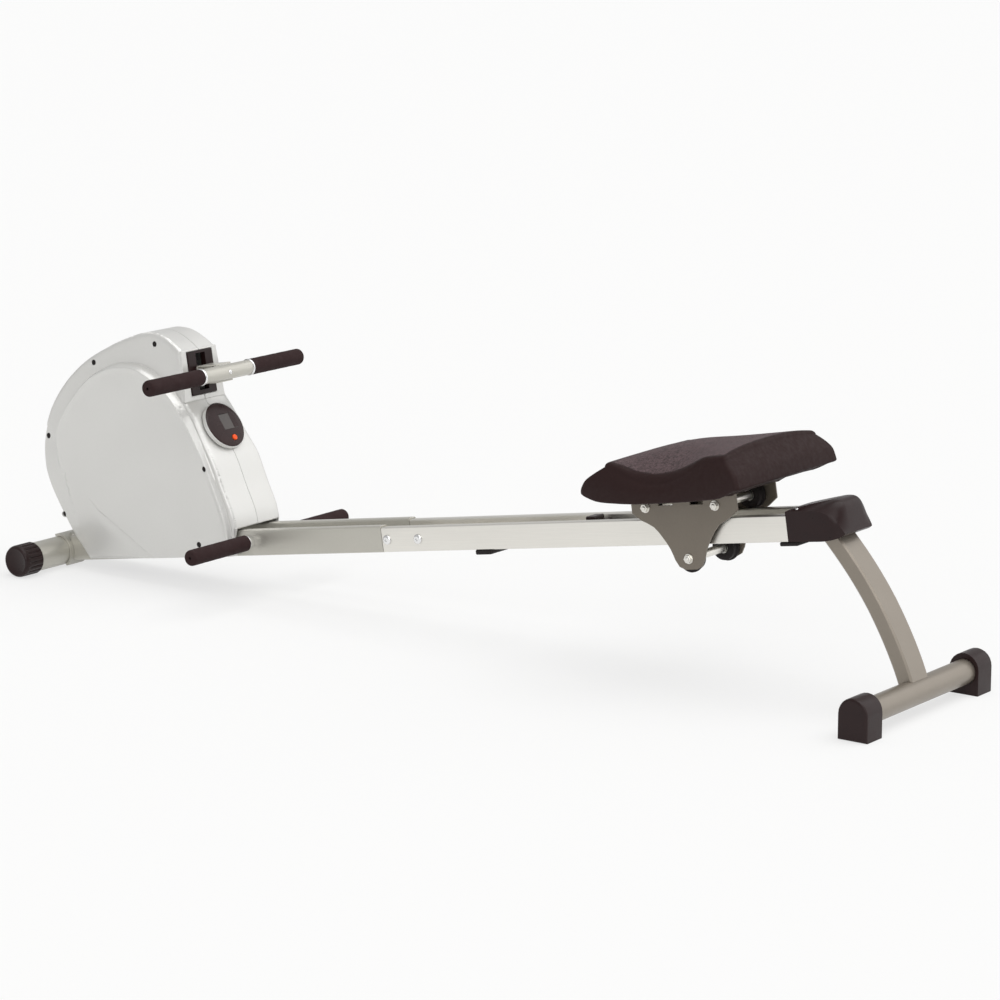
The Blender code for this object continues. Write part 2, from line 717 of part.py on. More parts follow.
# Uprights, axles, brake magnets and belt: the fixed part of the drive
def drive_frame():
    def upright(name, low, high):
        foot = [(0.120, 0.006), (0.335, 0.006), (0.335, 0.110), (0.322, 0.250)]
        head = arc(DRUM, 0.024, -20, 110, 9)
        front = smooth([(0.262, 0.352), (0.172, 0.334), (0.118, 0.262), (0.097, 0.170),
                        (0.108, 0.080)], 3)
        windows = [rectangle((0.150, 0.068), (0.225, 0.120), 0.012, 3),
                   rectangle((0.247, 0.068), (0.315, 0.160), 0.012, 3),
                   circle((0.176, 0.238), 0.034, 16), circle((0.272, 0.262), 0.020, 12)]
        holes = [circle(DRUM, 0.0063, 10), circle(FLYWHEEL, 0.0063, 10)]
        return plate(name, [foot + head + front] + windows + holes, low, high, rail, "steel")

    part = upright("drive_upright_left", -RAIL_IN + GAP, -0.0315)
    mirrored(part, "drive_upright_right", "steel")

    half = [(0.0, 0.0460), (0.0055, 0.0460), (0.0055, 0.0425), (0.0110, 0.0425),
            (0.0110, RAIL_IN + GAP), (0.006, RAIL_IN + GAP)]
    profile = half + [(r, -y) for r, y in reversed(half)]
    for (s, n), name in ((DRUM, "drum_axle"), (FLYWHEEL, "flywheel_axle")):
        lathe(name, profile, rail, "steel", (s, 0.0, n), steps=10)

    # A curved carrier ahead of the flywheel with four magnets on its inner face
    inner = FLYWHEEL_R + 0.0095
    carrier = arc(FLYWHEEL, inner + 0.004, 122, 196, 13) + arc(FLYWHEEL, inner, 196, 122, 13)
    base = plate("brake_magnets", [carrier], -0.0311, 0.0311, rail, "steel")
    for k in range(4):
        turn = math.radians(130 + 19.5 * k)
        magnet = box("magnet", (-0.0032, -0.012, -0.015), (0.0032, 0.012, 0.015), rail, None)
        reach = inner - 0.0028
        magnet.location = (FLYWHEEL[0] + reach * math.cos(turn), 0.0,
                           FLYWHEEL[1] + reach * math.sin(turn))
        magnet.rotation_euler = (0.0, -turn, 0.0)
        fuse(base, magnet)
    settle(base)

    # The belt lies round both pulleys
    run = Vector((FLYWHEEL[0] - DRUM[0], FLYWHEEL[1] - DRUM[1]))
    heading = math.degrees(math.atan2(run.y, run.x))
    lean = math.degrees(math.acos((PULLEY_R - SMALL_PULLEY_R) / run.length))
    loops = []
    for grow in (GAP, 0.0026):
        loop = arc(DRUM, PULLEY_R + grow, heading + lean, heading + 360 - lean, 22)
        loop += arc(FLYWHEEL, SMALL_PULLEY_R + grow, heading - lean, heading + lean, 9)
        loops.append(loop)
    plate("drive_belt", [loops[1], loops[0]], *BELT_Y, rail, "rubber")
    return base


# The turning part of the drive
def flywheel():
    axis = add_frame("flywheel_axis", (FLYWHEEL[0], 0.0, FLYWHEEL[1]), parent=rail)
    r = FLYWHEEL_R
    small = SMALL_PULLEY_R
    profile = [(0.0063, -0.014), (0.016, -0.014), (0.018, -0.003), (r - 0.030, -0.003),
               (r - 0.024, -0.008), (r, -0.008), (r, 0.008), (r - 0.024, 0.008),
               (r - 0.030, 0.003), (small + 0.0030, 0.003), (small + 0.0030, 0.0182),
               (small, 0.0182), (small, 0.0272), (0.0063, 0.0272)]
    lathe("flywheel", profile, axis, "cast_iron", steps=28, ring=True)


def belt_pulley():
    axis = add_frame("belt_pulley_axis", (DRUM[0], 0.0, DRUM[1]), parent=rail)
    r = PULLEY_R
    profile = [(0.0063, 0.0185), (0.014, 0.0212), (r - 0.008, 0.0212), (r - 0.006, 0.0182),
               (r, 0.0182), (r, 0.0266), (r - 0.006, 0.0266), (r - 0.008, 0.0236),
               (0.016, 0.0236), (0.014, 0.0300), (0.0063, 0.0300)]
    lathe("belt_pulley", profile, axis, "dark_plastic", steps=20, ring=True)


def strap_drum():
    axis = add_frame("strap_drum_axis", (DRUM[0], 0.0, DRUM[1]), parent=rail)
    r = DRUM_R
    profile = [(0.0063, -0.0300), (0.026, -0.0300), (0.026, -0.0168), (0.036, -0.0168),
               (0.036, -0.0136), (r, -0.0130), (r, 0.0130), (0.036, 0.0136), (0.036, 0.0168),
               (0.0063, 0.0168)]
    lathe("strap_drum", profile, axis, "dark_plastic", steps=16, ring=True)


def guide_roller():
    axis = add_frame("guide_roller_axis", (GUIDE[0], 0.0, GUIDE[1]), parent=rail)
    r = GUIDE_R
    profile = [(0.0043, -0.0160), (r - 0.001, -0.0160), (r, -0.0145), (r, 0.0145),
               (r - 0.001, 0.0160), (0.0043, 0.0160)]
    lathe("guide_roller", profile, axis, "dark_plastic", steps=12, ring=True)


# The pull handle with its strap
def handle():
    here = add_frame("handle_origin", (HANDLE[0], 0.0, HANDLE[1]), parent=rail)
    r = HANDLE_R
    core = 0.0136
    half = [(0.0, 0.2290), (core, 0.2290), (core, 0.0785), (0.0165, 0.0785), (0.0179, 0.0765),
            (0.0176, 0.0735), (0.0160, 0.0723), (core, 0.0723)]
    lathe("handle_bar", half + [(q, -h) for q, h in reversed(half)], here, "chrome", steps=16)
    bore = core + GAP * 1.5
    tube = lathe("handle_tube", [(bore, -0.0720), (r, -0.0720), (r, 0.0720), (bore, 0.0720)], here,
                 "champagne", steps=24, ring=True)
    settle(cut(tube, rod("screw_hole", 0.0048, 0.010, 0.020, here, None, axis="X", sides=12)))

    for side, name in ((-1, "handle_grip_left"), (1, "handle_grip_right")):
        g = HANDLE_GRIP_R
        end = HANDLE_END
        profile = [(bore, 0.0788), (g, 0.0788), (g, end - 0.008), (g - 0.0020, end - 0.003),
                   (g - 0.0055, end), (0.0034, end), (0.0034, 0.2294), (bore, 0.2294)]
        lathe(name, [(q, side * h) for q, h in profile], here, "foam", steps=18, ring=True)

    # A bent strip that grips the tube above and below, slotted for the strap
    back = -0.0567
    near = -0.0010
    t = 0.003
    top = r + GAP
    strip = [(near, top), (near, top + t), (back + 0.004, top + t), (back + 0.001, top + t - 0.001),
             (back, top + t - 0.004), (back, -top - t + 0.004), (back + 0.001, -top - t + 0.001),
             (back + 0.004, -top - t), (near, -top - t), (near, -top), (back + 0.005, -top),
             (back + t, -top + 0.002), (back + t, top - 0.002), (back + 0.005, top)]
    bracket = plate("handle_bracket", [strip], -0.023, 0.023, here, "champagne")
    room = STRAP_HALF + 0.0008
    cut(bracket, box("slit", (back - 0.01, -room, -0.0016), (back + 0.008, room, 0.0016), here, None))

    # Two lugs behind the web hold the pin that the strap is looped round
    pin_s = -0.0472
    for side in (-1, 1):
        low, high = sorted((side * 0.0150, side * 0.0185))
        root = back + 0.001
        lug = [(root, -0.007)] + arc((pin_s, 0.0), 0.0062, -80, 80, 6) + [(root, 0.007)]
        fuse(bracket, plate("lug", [lug], low, high, here, None))
    fuse(bracket, rod("pin", 0.0040, -0.0170, 0.0170, here, None, centre=(pin_s, 0.0), sides=12))
    settle(bracket)
    thick = 0.0014
    turn = math.degrees(math.asin((thick / 2) / 0.0058))
    tail = DRUM[0] - HANDLE[0]
    ring = arc((pin_s, 0.0), 0.0058, 180 - turn, -180 + turn, 16)
    outline = [(tail, thick / 2)] + ring + [(tail, -thick / 2)]
    eye = circle((pin_s, 0.0), 0.0044, 12)
    plate("pull_strap", [outline, eye], -STRAP_HALF, STRAP_HALF, here, "webbing")


# The round computer and its button
def computer():
    s, n = COMPUTER
    face = add_frame("computer_frame", (s, 0.0, n), (0.0, COMPUTER_TILT, 0.0), parent=rail)
    r = COMPUTER_R
    base = 0.0012
    profile = [(0.0, base), (r, base), (r, 0.0088), (r - 0.0018, 0.0105), (r - 0.0038, 0.0098),
               (r - 0.0038, 0.0050), (0.0, 0.0050)]
    case = lathe("computer_case", profile, face, "silver_plastic", axis="Z", steps=26)
    well = (0.0322, 0.0073)
    cut(case, rod("well", 0.0070, 0.0030, 0.02, face, None, centre=well, axis="Z", sides=14))
    settle(case)
    q = r - 0.0041
    profile = [(0.0, 0.0053), (q, 0.0053), (q, 0.0100), (q - 0.004, 0.0114), (0.0, 0.0134)]
    front = lathe("computer_face", profile, face, "face_plastic", axis="Z", steps=26)
    cut(front, rod("well", 0.0070, 0.0, 0.02, face, None, centre=well, axis="Z", sides=14))
    cut(front, box("glass_seat", (-0.0235, -0.0100, 0.0108), (0.0130, 0.0345, 0.02), face, None))
    settle(front)
    box("computer_lens", (-0.0232, -0.0097, 0.0111), (0.0127, 0.0342, 0.0127), face, "lcd",
        edge=0.0006, steps=1)

    press = add_frame("button_origin", (well[0], well[1], 0.0), parent=face)
    profile = [(0.0, 0.0063), (0.0062, 0.0063), (0.0062, 0.0138), (0.0052, 0.0147), (0.0, 0.0152)]
    lathe("computer_button", profile, press, "orange", axis="Z", steps=14)


# The rear end of the rails: hood, leg plate, curved leg and stabiliser
def hood():
    """A lofted cover: each rib runs from the cheek's foot up over the fold and the crown."""
    # Along the middle: crown s, crown n, fold s, fold n, fold's half width, foot n
    ribs = ((1.8620, 0.0598, 1.8620, 0.0575, 0.0615, 0.0015),
            (1.8870, 0.0640, 1.8870, 0.0582, 0.0615, 0.0005),
            (1.9240, 0.0695, 1.9160, 0.0572, 0.0612, 0.0000),
            (1.9490, 0.0722, 1.9370, 0.0538, 0.0600, -0.0002),
            (1.9640, 0.0690, 1.9510, 0.0470, 0.0575, 0.0010),
            (1.9720, 0.0580, 1.9620, 0.0370, 0.0545, 0.0030),
            (1.9750, 0.0380, 1.9705, 0.0255, 0.0510, 0.0058),
            (1.9776, 0.0125, 1.9776, 0.0125, 0.0480, 0.0095))
    mesh = bpy.data.meshes.new("rear_hood")
    work = bmesh.new()
    rows = []
    for crown_s, crown_n, fold_s, fold_n, fold_y, foot_n in ribs:
        half = [(fold_s, fold_y, foot_n), (fold_s, fold_y, fold_n)]
        for share, rise in ((0.30, 0.62), (0.62, 0.90)):
            y = fold_y + (0.028 - fold_y) * share
            half.append((fold_s + (crown_s - fold_s) * rise, y, fold_n + (crown_n - fold_n) * rise))
        half.append((crown_s, 0.028, crown_n))
        near = [(s, -y, n) for s, y, n in half]
        rows.append([work.verts.new(p) for p in near + half[::-1]])
    count = len(rows[0])
    for a, b in zip(rows, rows[1:]):
        for k in range(count):
            m = (k + 1) % count
            work.faces.new((a[k], a[m], b[m], b[k]))
    work.faces.new(rows[0])
    work.faces.new(rows[-1])
    bmesh.ops.triangulate(work, faces=[f for f in work.faces if len(f.verts) == 4])
    bmesh.ops.recalc_face_normals(work, faces=work.faces)
    work.to_mesh(mesh)
    work.free()
    part = add_part("rear_hood", mesh, rail, "dark_plastic")
    reach = REAR_RAIL_Y[1] + 0.0004
    cut(part, box("bay", (1.85, -reach, -0.02), (REAR_RAIL_S[1] + 0.002, reach, 0.0504), rail, None))
    leg_way = [(1.90, -0.03), (1.90, 0.044), (1.930, 0.044), (1.974, -0.03)]
    cut(part, plate("leg_way", [leg_way], -LEG_HALF_Y - 0.0006, LEG_HALF_Y + 0.0006, rail, None))
    return settle(part)


def leg_line():
    """The leg's centre line in the floor frame, steeper towards the foot."""
    return smooth([(1.8620, 0.3640), (1.909, 0.3147), (1.943, 0.2780), (1.9734, 0.2414),
                   (2.006, 0.1960), (2.036, 0.1453), (2.057, 0.1040), (2.0704, 0.0734),
                   (2.0840, 0.0360)], 2)


def offset_line(line, amount):
    moved = []
    for i, point in enumerate(line):
        before = Vector(line[max(i - 1, 0)])
        after = Vector(line[min(i + 1, len(line) - 1)])
        along = (after - before).normalized()
        moved.append((point[0] + along.y * amount, point[1] - along.x * amount))
    return moved


def rear_leg():
    line = leg_line()
    half = LEG_HALF_T
    outer = offset_line(line, half) + offset_line(line, -half)[::-1]
    part = plate("rear_leg", [outer], -LEG_HALF_Y, LEG_HALF_Y, floor, "leg_paint")
    work = bmesh.new()
    work.from_mesh(part.data)
    bmesh.ops.dissolve_limit(work, angle_limit=0.001, verts=work.verts, edges=work.edges)
    work.to_mesh(part.data)
    work.free()
    round_edges(part, 0.0035, 1)
    bake(part)
    above, beyond = (line[0][0] - 0.03, line[0][1] + 0.03), (line[-1][0] + 0.02, line[-1][1] - 0.04)
    long = [above] + line + [beyond]
    inner = offset_line(long, half - 0.002) + offset_line(long, 0.002 - half)[::-1]
    cut(part, plate("bore", [inner], -LEG_HALF_Y + 0.002, LEG_HALF_Y - 0.002, floor, None))
    cut(part, rod("cope", REAR_TUBE_R + GAP, -0.05, 0.05, floor, None, centre=REAR_AXIS, sides=28))
    x, z = REAR_AXIS
    cut(part, box("below", (x - 0.06, -0.05, -0.03), (x + 0.06, 0.05, z), floor, None))
    cut(part, box("above", (1.80, -0.05, 0.0405), (1.98, 0.05, 0.10), rail, None))
    reach = REAR_RAIL_Y[0] - GAP
    fuse(part, box("head_plate", (1.872, -reach, 0.0400), (1.931, reach, 0.0460), rail, None))
    settle(part)


def rear_stabiliser():
    axis = add_frame("rear_axis", (REAR_AXIS[0], 0.0, REAR_AXIS[1]), parent=floor)
    r = REAR_TUBE_R
    end = FOOT_Y[1] - 0.006
    lathe("rear_stabilizer_tube", [(r - TUBE_WALL, -end), (r, -end), (r, end), (r - TUBE_WALL, end)],
          axis, "leg_paint", steps=28, ring=True)
    z0 = -REAR_AXIS[1]
    top = FOOT_HEIGHT - REAR_AXIS[1] - FOOT_HALF
    arch = [(-FOOT_HALF, z0), (FOOT_HALF, z0)] + arc((0.0, top), FOOT_HALF, 0, 180, 13)
    foot = plate("rear_foot_left", [arch], -FOOT_Y[1], -FOOT_Y[0], axis, "dark_plastic")
    round_outer_rim(foot, 2, (FOOT_Y[1] - FOOT_Y[0]) / 2, 0.0045, 2)
    cut(foot, rod("bore", r + GAP * 2, -end - GAP, 0.0, axis, None, sides=28))
    settle(foot)
    mirrored(foot, "rear_foot_right", "dark_plastic")


# The seat carriage: side plates, axles, spacers and flanged rollers
def side_plate():
    flank = smooth([(1.5450, 0.0500), (1.5710, 0.0370), (1.5890, 0.0160), (1.6030, -0.0060),
                    (1.6110, -0.0270)], 2)
    toe = [(1.6190, -0.0400), (1.6310, -0.0455), (1.6580, -0.0455), (1.6700, -0.0400)]
    mate = [(2 * CARRIAGE_S - s, n) for s, n in reversed(flank)]
    top = BOARD_N[0] - GAP
    outline = [(1.5250, top), (1.5245, 0.0650)] + flank + toe + mate
    outline += [(1.7645, 0.0650), (1.7640, top)]
    holes = [circle(axle, 0.0044, 10) for axle in AXLES.values()]
    holes += [rectangle((1.5870, 0.0780), (1.6190, 0.0960)),
              rectangle((1.6590, 0.0780), (1.6890, 0.0960))]
    part = plate("carriage_plate_left", [outline] + holes, -PLATE_Y[1], -PLATE_Y[0], carriage,
                 "plate_paint")
    part.location = (-CARRIAGE_S, -sum(PLATE_Y) / 2, 0.0)
    mirrored(part, "carriage_plate_right", "plate_paint")


def carriage_axles():
    for which, (s, n) in AXLES.items():
        here = (s - CARRIAGE_S, 0.0, n)
        out = PLATE_Y[1] + GAP
        half = [(0.0, 0.0795), (0.0040, 0.0795), (0.0040, 0.0452), (0.0085, 0.0452)]
        part = lathe("axle_%s" % which, half + [(r, -h) for r, h in reversed(half)], carriage,
                     "aluminium", here, steps=10)
        for low, high in ((-out - 0.0064, -out), (out, out + 0.0064)):
            fuse(part, rod("head", 0.0085, low, high, carriage, None, centre=(here[0], n), sides=6))
        settle(part)
    box("seat_board", (-0.1195, -0.0745, BOARD_N[0]), (0.1195, 0.0745, BOARD_N[1]), carriage,
        "plate_paint", edge=0.0015, steps=1)


def roller_pair(which):
    s, n = AXLES[which]
    axis = add_frame("rollers_%s_axis" % which, (s - CARRIAGE_S, 0.0, n), parent=carriage)
    for side, hand in ((-1, "left"), (1, "right")):
        profile = [(0.0046, 0.0456), (0.0110, 0.0474), (0.0200, 0.0474), (0.0225, 0.0456),
                   (ROLLER_R, 0.0466), (ROLLER_R, 0.0586), (FLANGE_R, 0.0592), (FLANGE_R, 0.0640),
                   (0.0255, 0.0655), (0.0046, 0.0655)]
        lathe("roller_%s_%s" % (which, hand), [(r, side * h) for r, h in profile], axis, "rubber",
              steps=16, ring=True)


# The seat: a moulded cushion with a crowned middle, thigh reliefs and a raised rear edge
def along(pairs, s):
    """The value at s on the smooth curve through (s, value) pairs."""
    line = smooth(pairs, 6)
    if s <= line[0][0]:
        return line[0][1]
    for (s0, v0), (s1, v1) in zip(line, line[1:]):
        if s <= s1:
            return v0 + (v1 - v0) * (s - s0) / (s1 - s0)
    return line[-1][1]


def rounded_square(side, corner, radius):
    """A loop round the unit square, with rounded corners of 1 / radius of its half side."""
    line = []
    for quarter in range(4):
        turn = Matrix.Rotation(math.pi / 2 * quarter, 2)
        for k in range(side):
            line.append(turn @ Vector((1.0, (2.0 * k / side - 1.0) * (1.0 - radius))))
        for k in range(corner):
            angle = math.pi / 2 * k / corner
            line.append(turn @ Vector((1.0 - radius + radius * math.cos(angle),
                                       1.0 - radius + radius * math.sin(angle))))
    return line


RIM_N = ((1.500, 0.1640), (1.530, 0.1735), (1.560, 0.1640), (1.592, 0.1480), (1.633, 0.1385),
         (1.675, 0.1420), (1.715, 0.1560), (1.754, 0.1740), (1.794, 0.1770), (1.812, 0.1770))
MIDDLE_N = ((1.500, 0.1700), (1.530, 0.1800), (1.575, 0.1890), (1.6385, 0.1940), (1.720, 0.1915),
            (1.765, 0.1890), (1.798, 0.1905), (1.812, 0.1880))
FOOT_N = ((1.466, 0.1130), (1.500, 0.1010), (1.546, 0.0965), (1.600, 0.0940), (1.697, 0.0950),
          (1.760, 0.0985), (1.793, 0.1020), (1.830, 0.1150))
TOP_HALF = ((1.500, 0.1445), (1.600, 0.1455), (1.660, 0.1475), (1.720, 0.1510), (1.812, 0.1550))
FOOT_HALF_Y = ((1.466, 0.1450), (1.546, 0.1540), (1.660, 0.1550), (1.740, 0.1590), (1.830, 0.1680))
TOP_S = (1.5250, 1.8110)
FOOT_S = (1.4670, 1.8290)


def seat_top(s, y):
    share = min(1.0, abs(y) / along(TOP_HALF, s)) ** 2.6
    return along(MIDDLE_N, s) * (1.0 - share) + along(RIM_N, s) * share


def seat_cushion():
    loop = rounded_square(9, 3, 0.13)
    roll = 0.009

    def ring(inset, drop, scale=1.0):
        """A ring on the top face, set in from the rim and sunk by its roll."""
        points = []
        middle, reach = sum(TOP_S) / 2, (TOP_S[1] - TOP_S[0]) / 2
        for u, v in loop:
            s = middle + u * (reach - inset) * scale
            y = v * (along(TOP_HALF, s) - inset) * scale
            points.append(Vector((s, y, seat_top(s, y) - drop)))
        return points

    def foot(inset, lift):
        points = []
        middle, reach = sum(FOOT_S) / 2, (FOOT_S[1] - FOOT_S[0]) / 2
        for u, v in loop:
            s = middle + u * (reach - inset)
            y = v * (along(FOOT_HALF_Y, s) - inset)
            points.append(Vector((s, y, along(FOOT_N, s) + lift)))
        return points

    def wall(share, bulge):
        """Between the foot and the rim, pushed outwards square to the loop."""
        points = []
        for low, high, (u, v) in zip(foot(0.0, 0.004), ring(0.0, roll), loop):
            point = low.lerp(high, share)
            point.x += u * bulge
            point.y += v * bulge
            points.append(point)
        return points

    middle = (TOP_S[0] + TOP_S[1]) / 2
    rings = [[Vector((p.x, p.y, 0.0936)) for p in foot(0.050, 0.0)]]
    rings += [foot(0.005, 0.0), foot(0.0, 0.004), wall(0.35, 0.004), wall(0.70, 0.005)]
    rings += [ring(0.0, roll), ring(roll * 0.29, roll * 0.29), ring(roll, 0.0)]
    rings += [ring(roll, 0.0, scale) for scale in (0.86, 0.66, 0.40)]
    mesh = bpy.data.meshes.new("seat_cushion")
    work = bmesh.new()
    rows = []
    for points in rings:
        rows.append([work.verts.new((p.x - CARRIAGE_S, p.y, p.z)) for p in points])
    count = len(loop)
    for a, b in zip(rows, rows[1:]):
        for k in range(count):
            m = (k + 1) % count
            work.faces.new((a[k], a[m], b[m], b[k]))
    work.faces.new(rows[0])
    centre = work.verts.new((middle - CARRIAGE_S, 0.0, seat_top(middle, 0.0)))
    for k in range(count):
        work.faces.new((rows[-1][k], rows[-1][(k + 1) % count], centre))
    bmesh.ops.recalc_face_normals(work, faces=work.faces)
    work.to_mesh(mesh)
    work.free()
    part = add_part("seat_cushion", mesh, carriage, "seat")
    bay = box("bay", (-0.1225, -0.0765, 0.05), (0.1225, 0.0765, BOARD_N[1] + GAP), carriage, None)
    return settle(cut(part, bay))


front_stabiliser()
transport_roller("transport_roller_left", -1)
transport_roller("transport_roller_right", 1)
front_rail()
rear_rail()
rail_fittings()
foot_pegs()
housing()
bezel()
drive_frame()
flywheel()
belt_pulley()
strap_drum()
guide_roller()
handle()
computer()
hood()
rear_leg()
rear_stabiliser()

carriage = add_frame("carriage_origin", (CARRIAGE_S, 0.0, 0.0), parent=rail)
side_plate()
carriage_axles()
for pair in AXLES:
    roller_pair(pair)
seat_cushion()
bpy.context.view_layer.update()
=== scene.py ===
"""Looks of the compact magnetic rower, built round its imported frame.

Points are in metres, and turned profiles, (radius, height), in millimetres. Two frames are used
besides the world: the rail frame (s up the tilted rails, y across, n square to the rails) and
the computer's own frame.
"""

import json
import math

import bmesh
import bpy
import numpy as np
from mathutils import Matrix, Vector
from mathutils.geometry import delaunay_2d_cdt


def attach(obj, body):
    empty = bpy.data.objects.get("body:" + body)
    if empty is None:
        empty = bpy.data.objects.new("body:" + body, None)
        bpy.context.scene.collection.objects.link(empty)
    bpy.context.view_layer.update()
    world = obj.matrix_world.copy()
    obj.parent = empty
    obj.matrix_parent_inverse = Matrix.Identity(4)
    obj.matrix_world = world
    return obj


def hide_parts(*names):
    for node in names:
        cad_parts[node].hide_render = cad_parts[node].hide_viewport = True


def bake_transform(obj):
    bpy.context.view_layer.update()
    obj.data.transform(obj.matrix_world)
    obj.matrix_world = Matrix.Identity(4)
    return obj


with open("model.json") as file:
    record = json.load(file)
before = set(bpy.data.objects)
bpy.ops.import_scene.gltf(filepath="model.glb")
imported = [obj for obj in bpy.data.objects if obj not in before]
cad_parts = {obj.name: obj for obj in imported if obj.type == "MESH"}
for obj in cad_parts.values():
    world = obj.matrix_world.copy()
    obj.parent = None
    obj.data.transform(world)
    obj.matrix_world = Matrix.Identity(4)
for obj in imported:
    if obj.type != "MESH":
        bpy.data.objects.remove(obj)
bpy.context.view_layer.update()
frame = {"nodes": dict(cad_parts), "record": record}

nodes = frame["nodes"]

MM = 0.001
SIDES = ((-1, "left"), (1, "right"))

# Frames
LENGTH_SHIFT = 1.03871
RAIL_TILT = math.radians(8.961)
RAIL = Matrix.Translation((-LENGTH_SHIFT, 0.0, 0.01135)) @ Matrix.Rotation(-RAIL_TILT, 4, "Y")
COMPUTER = (RAIL @ Matrix.Translation((0.458, 0.0, 0.264))
            @ Matrix.Rotation(math.radians(64.86), 4, "Y"))
FRONT_AXIS = Matrix.Translation((-LENGTH_SHIFT, 0.0, 0.0345))
LIE_Y = Matrix.Rotation(-math.pi / 2, 4, "X")

# Shell of the drive housing, in the rail frame: half widths of its wall, panel and bead
SHELL_HALF = 0.0735
SHELL_PANEL = 0.0785
SHELL_BEAD = 0.0808
SHELL_ROLL = 0.008
SHELL_WALL = 0.0024
LEAN = 0.0811
LEAN_N = 0.2014
FOLD = np.array([(0.058, 0.232), (0.098, 0.166), (0.149, 0.109), (0.29, 0.003)])
FOLD_REACH = 0.118
FOLD_SLOPE = 0.03
CREASE_STEP = 0.0034
GRID = 0.007
FACE_S = 0.42
WINDOW_N = (0.3357, 0.4273)
WINDOW_HALF = 0.0393
SURROUND_N = (0.3245, 0.432)
SURROUND_S = (0.416, 0.4226)
SHELL_SCREWS = ((0.35, 0.451), (0.172, 0.422), (0.02, 0.273), (0.037, 0.103),
                (0.464, 0.187), (0.42, 0.029))
SCREW_SEAT = 0.006
SCREW_FLOOR = 0.0036
SCREW_DEPTH = 0.004
SEAM_TURN = 0.0007
OPEN_FOOT = 0.0035
SEAT_STEPS = 20

# Handle and strap, in the rail frame
HANDLE = (0.4867, 0.3773)
DRUM = (0.3, 0.345)
DRUM_R = 0.0312
PEG = (0.546, 0.029)
SPLICE_BOLTS = ((0.909, "front"), (0.988, "rear"))
STRAP_HALF = 0.0125
STRAP_THICK = 0.0014

# Seat, in the rail frame
CARRIAGE_S = 1.6445
AXLES = {"front": (1.557, 0.0748), "rear": (1.715, 0.0748), "lower": (1.642, -0.0248)}
RIM_N = ((1.5, 0.164), (1.53, 0.1735), (1.56, 0.164), (1.592, 0.148), (1.633, 0.1385),
         (1.675, 0.142), (1.715, 0.156), (1.754, 0.174), (1.794, 0.177), (1.812, 0.177))
MIDDLE_N = ((1.5, 0.166), (1.53, 0.1745), (1.575, 0.183), (1.6385, 0.1905), (1.72, 0.1905),
            (1.765, 0.189), (1.798, 0.19), (1.812, 0.188))
FOOT_N = ((1.466, 0.113), (1.5, 0.101), (1.546, 0.0965), (1.6, 0.094), (1.697, 0.095),
          (1.76, 0.0985), (1.793, 0.102), (1.83, 0.115))
TOP_HALF = ((1.5, 0.1445), (1.6, 0.1455), (1.66, 0.1475), (1.72, 0.151), (1.812, 0.1585))
FOOT_HALF = ((1.466, 0.145), (1.546, 0.154), (1.66, 0.155), (1.74, 0.16), (1.842, 0.177))
TOP_S = (1.525, 1.812)
FOOT_S = (1.462, 1.841)
SEAT_BULGE = {
    "front": ((0, 0), (0.12, 0.006), (0.3, 0.0115), (0.55, 0.015), (0.8, 0.0085), (1, 0)),
    "rear": ((0, 0), (0.22, 0.0045), (0.45, 0.008), (0.72, 0.0055), (1, 0)),
    "side": ((0, 0), (0.3, 0.0045), (0.55, 0.0065), (0.8, 0.0045), (1, 0))}
SEAT_ROLL = 0.0075
SEAT_CORNER = 0.055
BOARD_POCKET = (0.1225, 0.0765, 0.05, 0.1096)
HOOD_SCREWS = (1.8805, 0.05, 0.0596)
HOOD_FLAT = 0.024
HOOD_RIBS = (
    (1.862, 0.0598, 1.862, 0.0575, 0.0615, 0.0015), (1.887, 0.064, 1.887, 0.0582, 0.0615, 0.0005),
    (1.924, 0.0695, 1.916, 0.0572, 0.0612, 0.0), (1.949, 0.0722, 1.937, 0.0538, 0.06, -0.0002),
    (1.964, 0.069, 1.951, 0.047, 0.0575, 0.001), (1.972, 0.058, 1.962, 0.037, 0.0545, 0.003),
    (1.975, 0.038, 1.9705, 0.0255, 0.051, 0.0058), (1.9776, 0.0125, 1.9776, 0.0125, 0.048, 0.0095))
LEG_WAY = ((1.9, -0.03), (1.9, 0.044), (1.93, 0.044), (1.974, -0.03))


# Shader helpers
def node(tree, kind, links=(), **settings):
    """A node with its settings; its inputs are values, or outputs to link."""
    made = tree.nodes.new(kind)
    for key, value in settings.items():
        setattr(made, key, value)
    for socket, value in dict(links).items():
        if isinstance(value, bpy.types.NodeSocket):
            tree.links.new(value, made.inputs[socket])
        else:
            made.inputs[socket].default_value = value
    return made


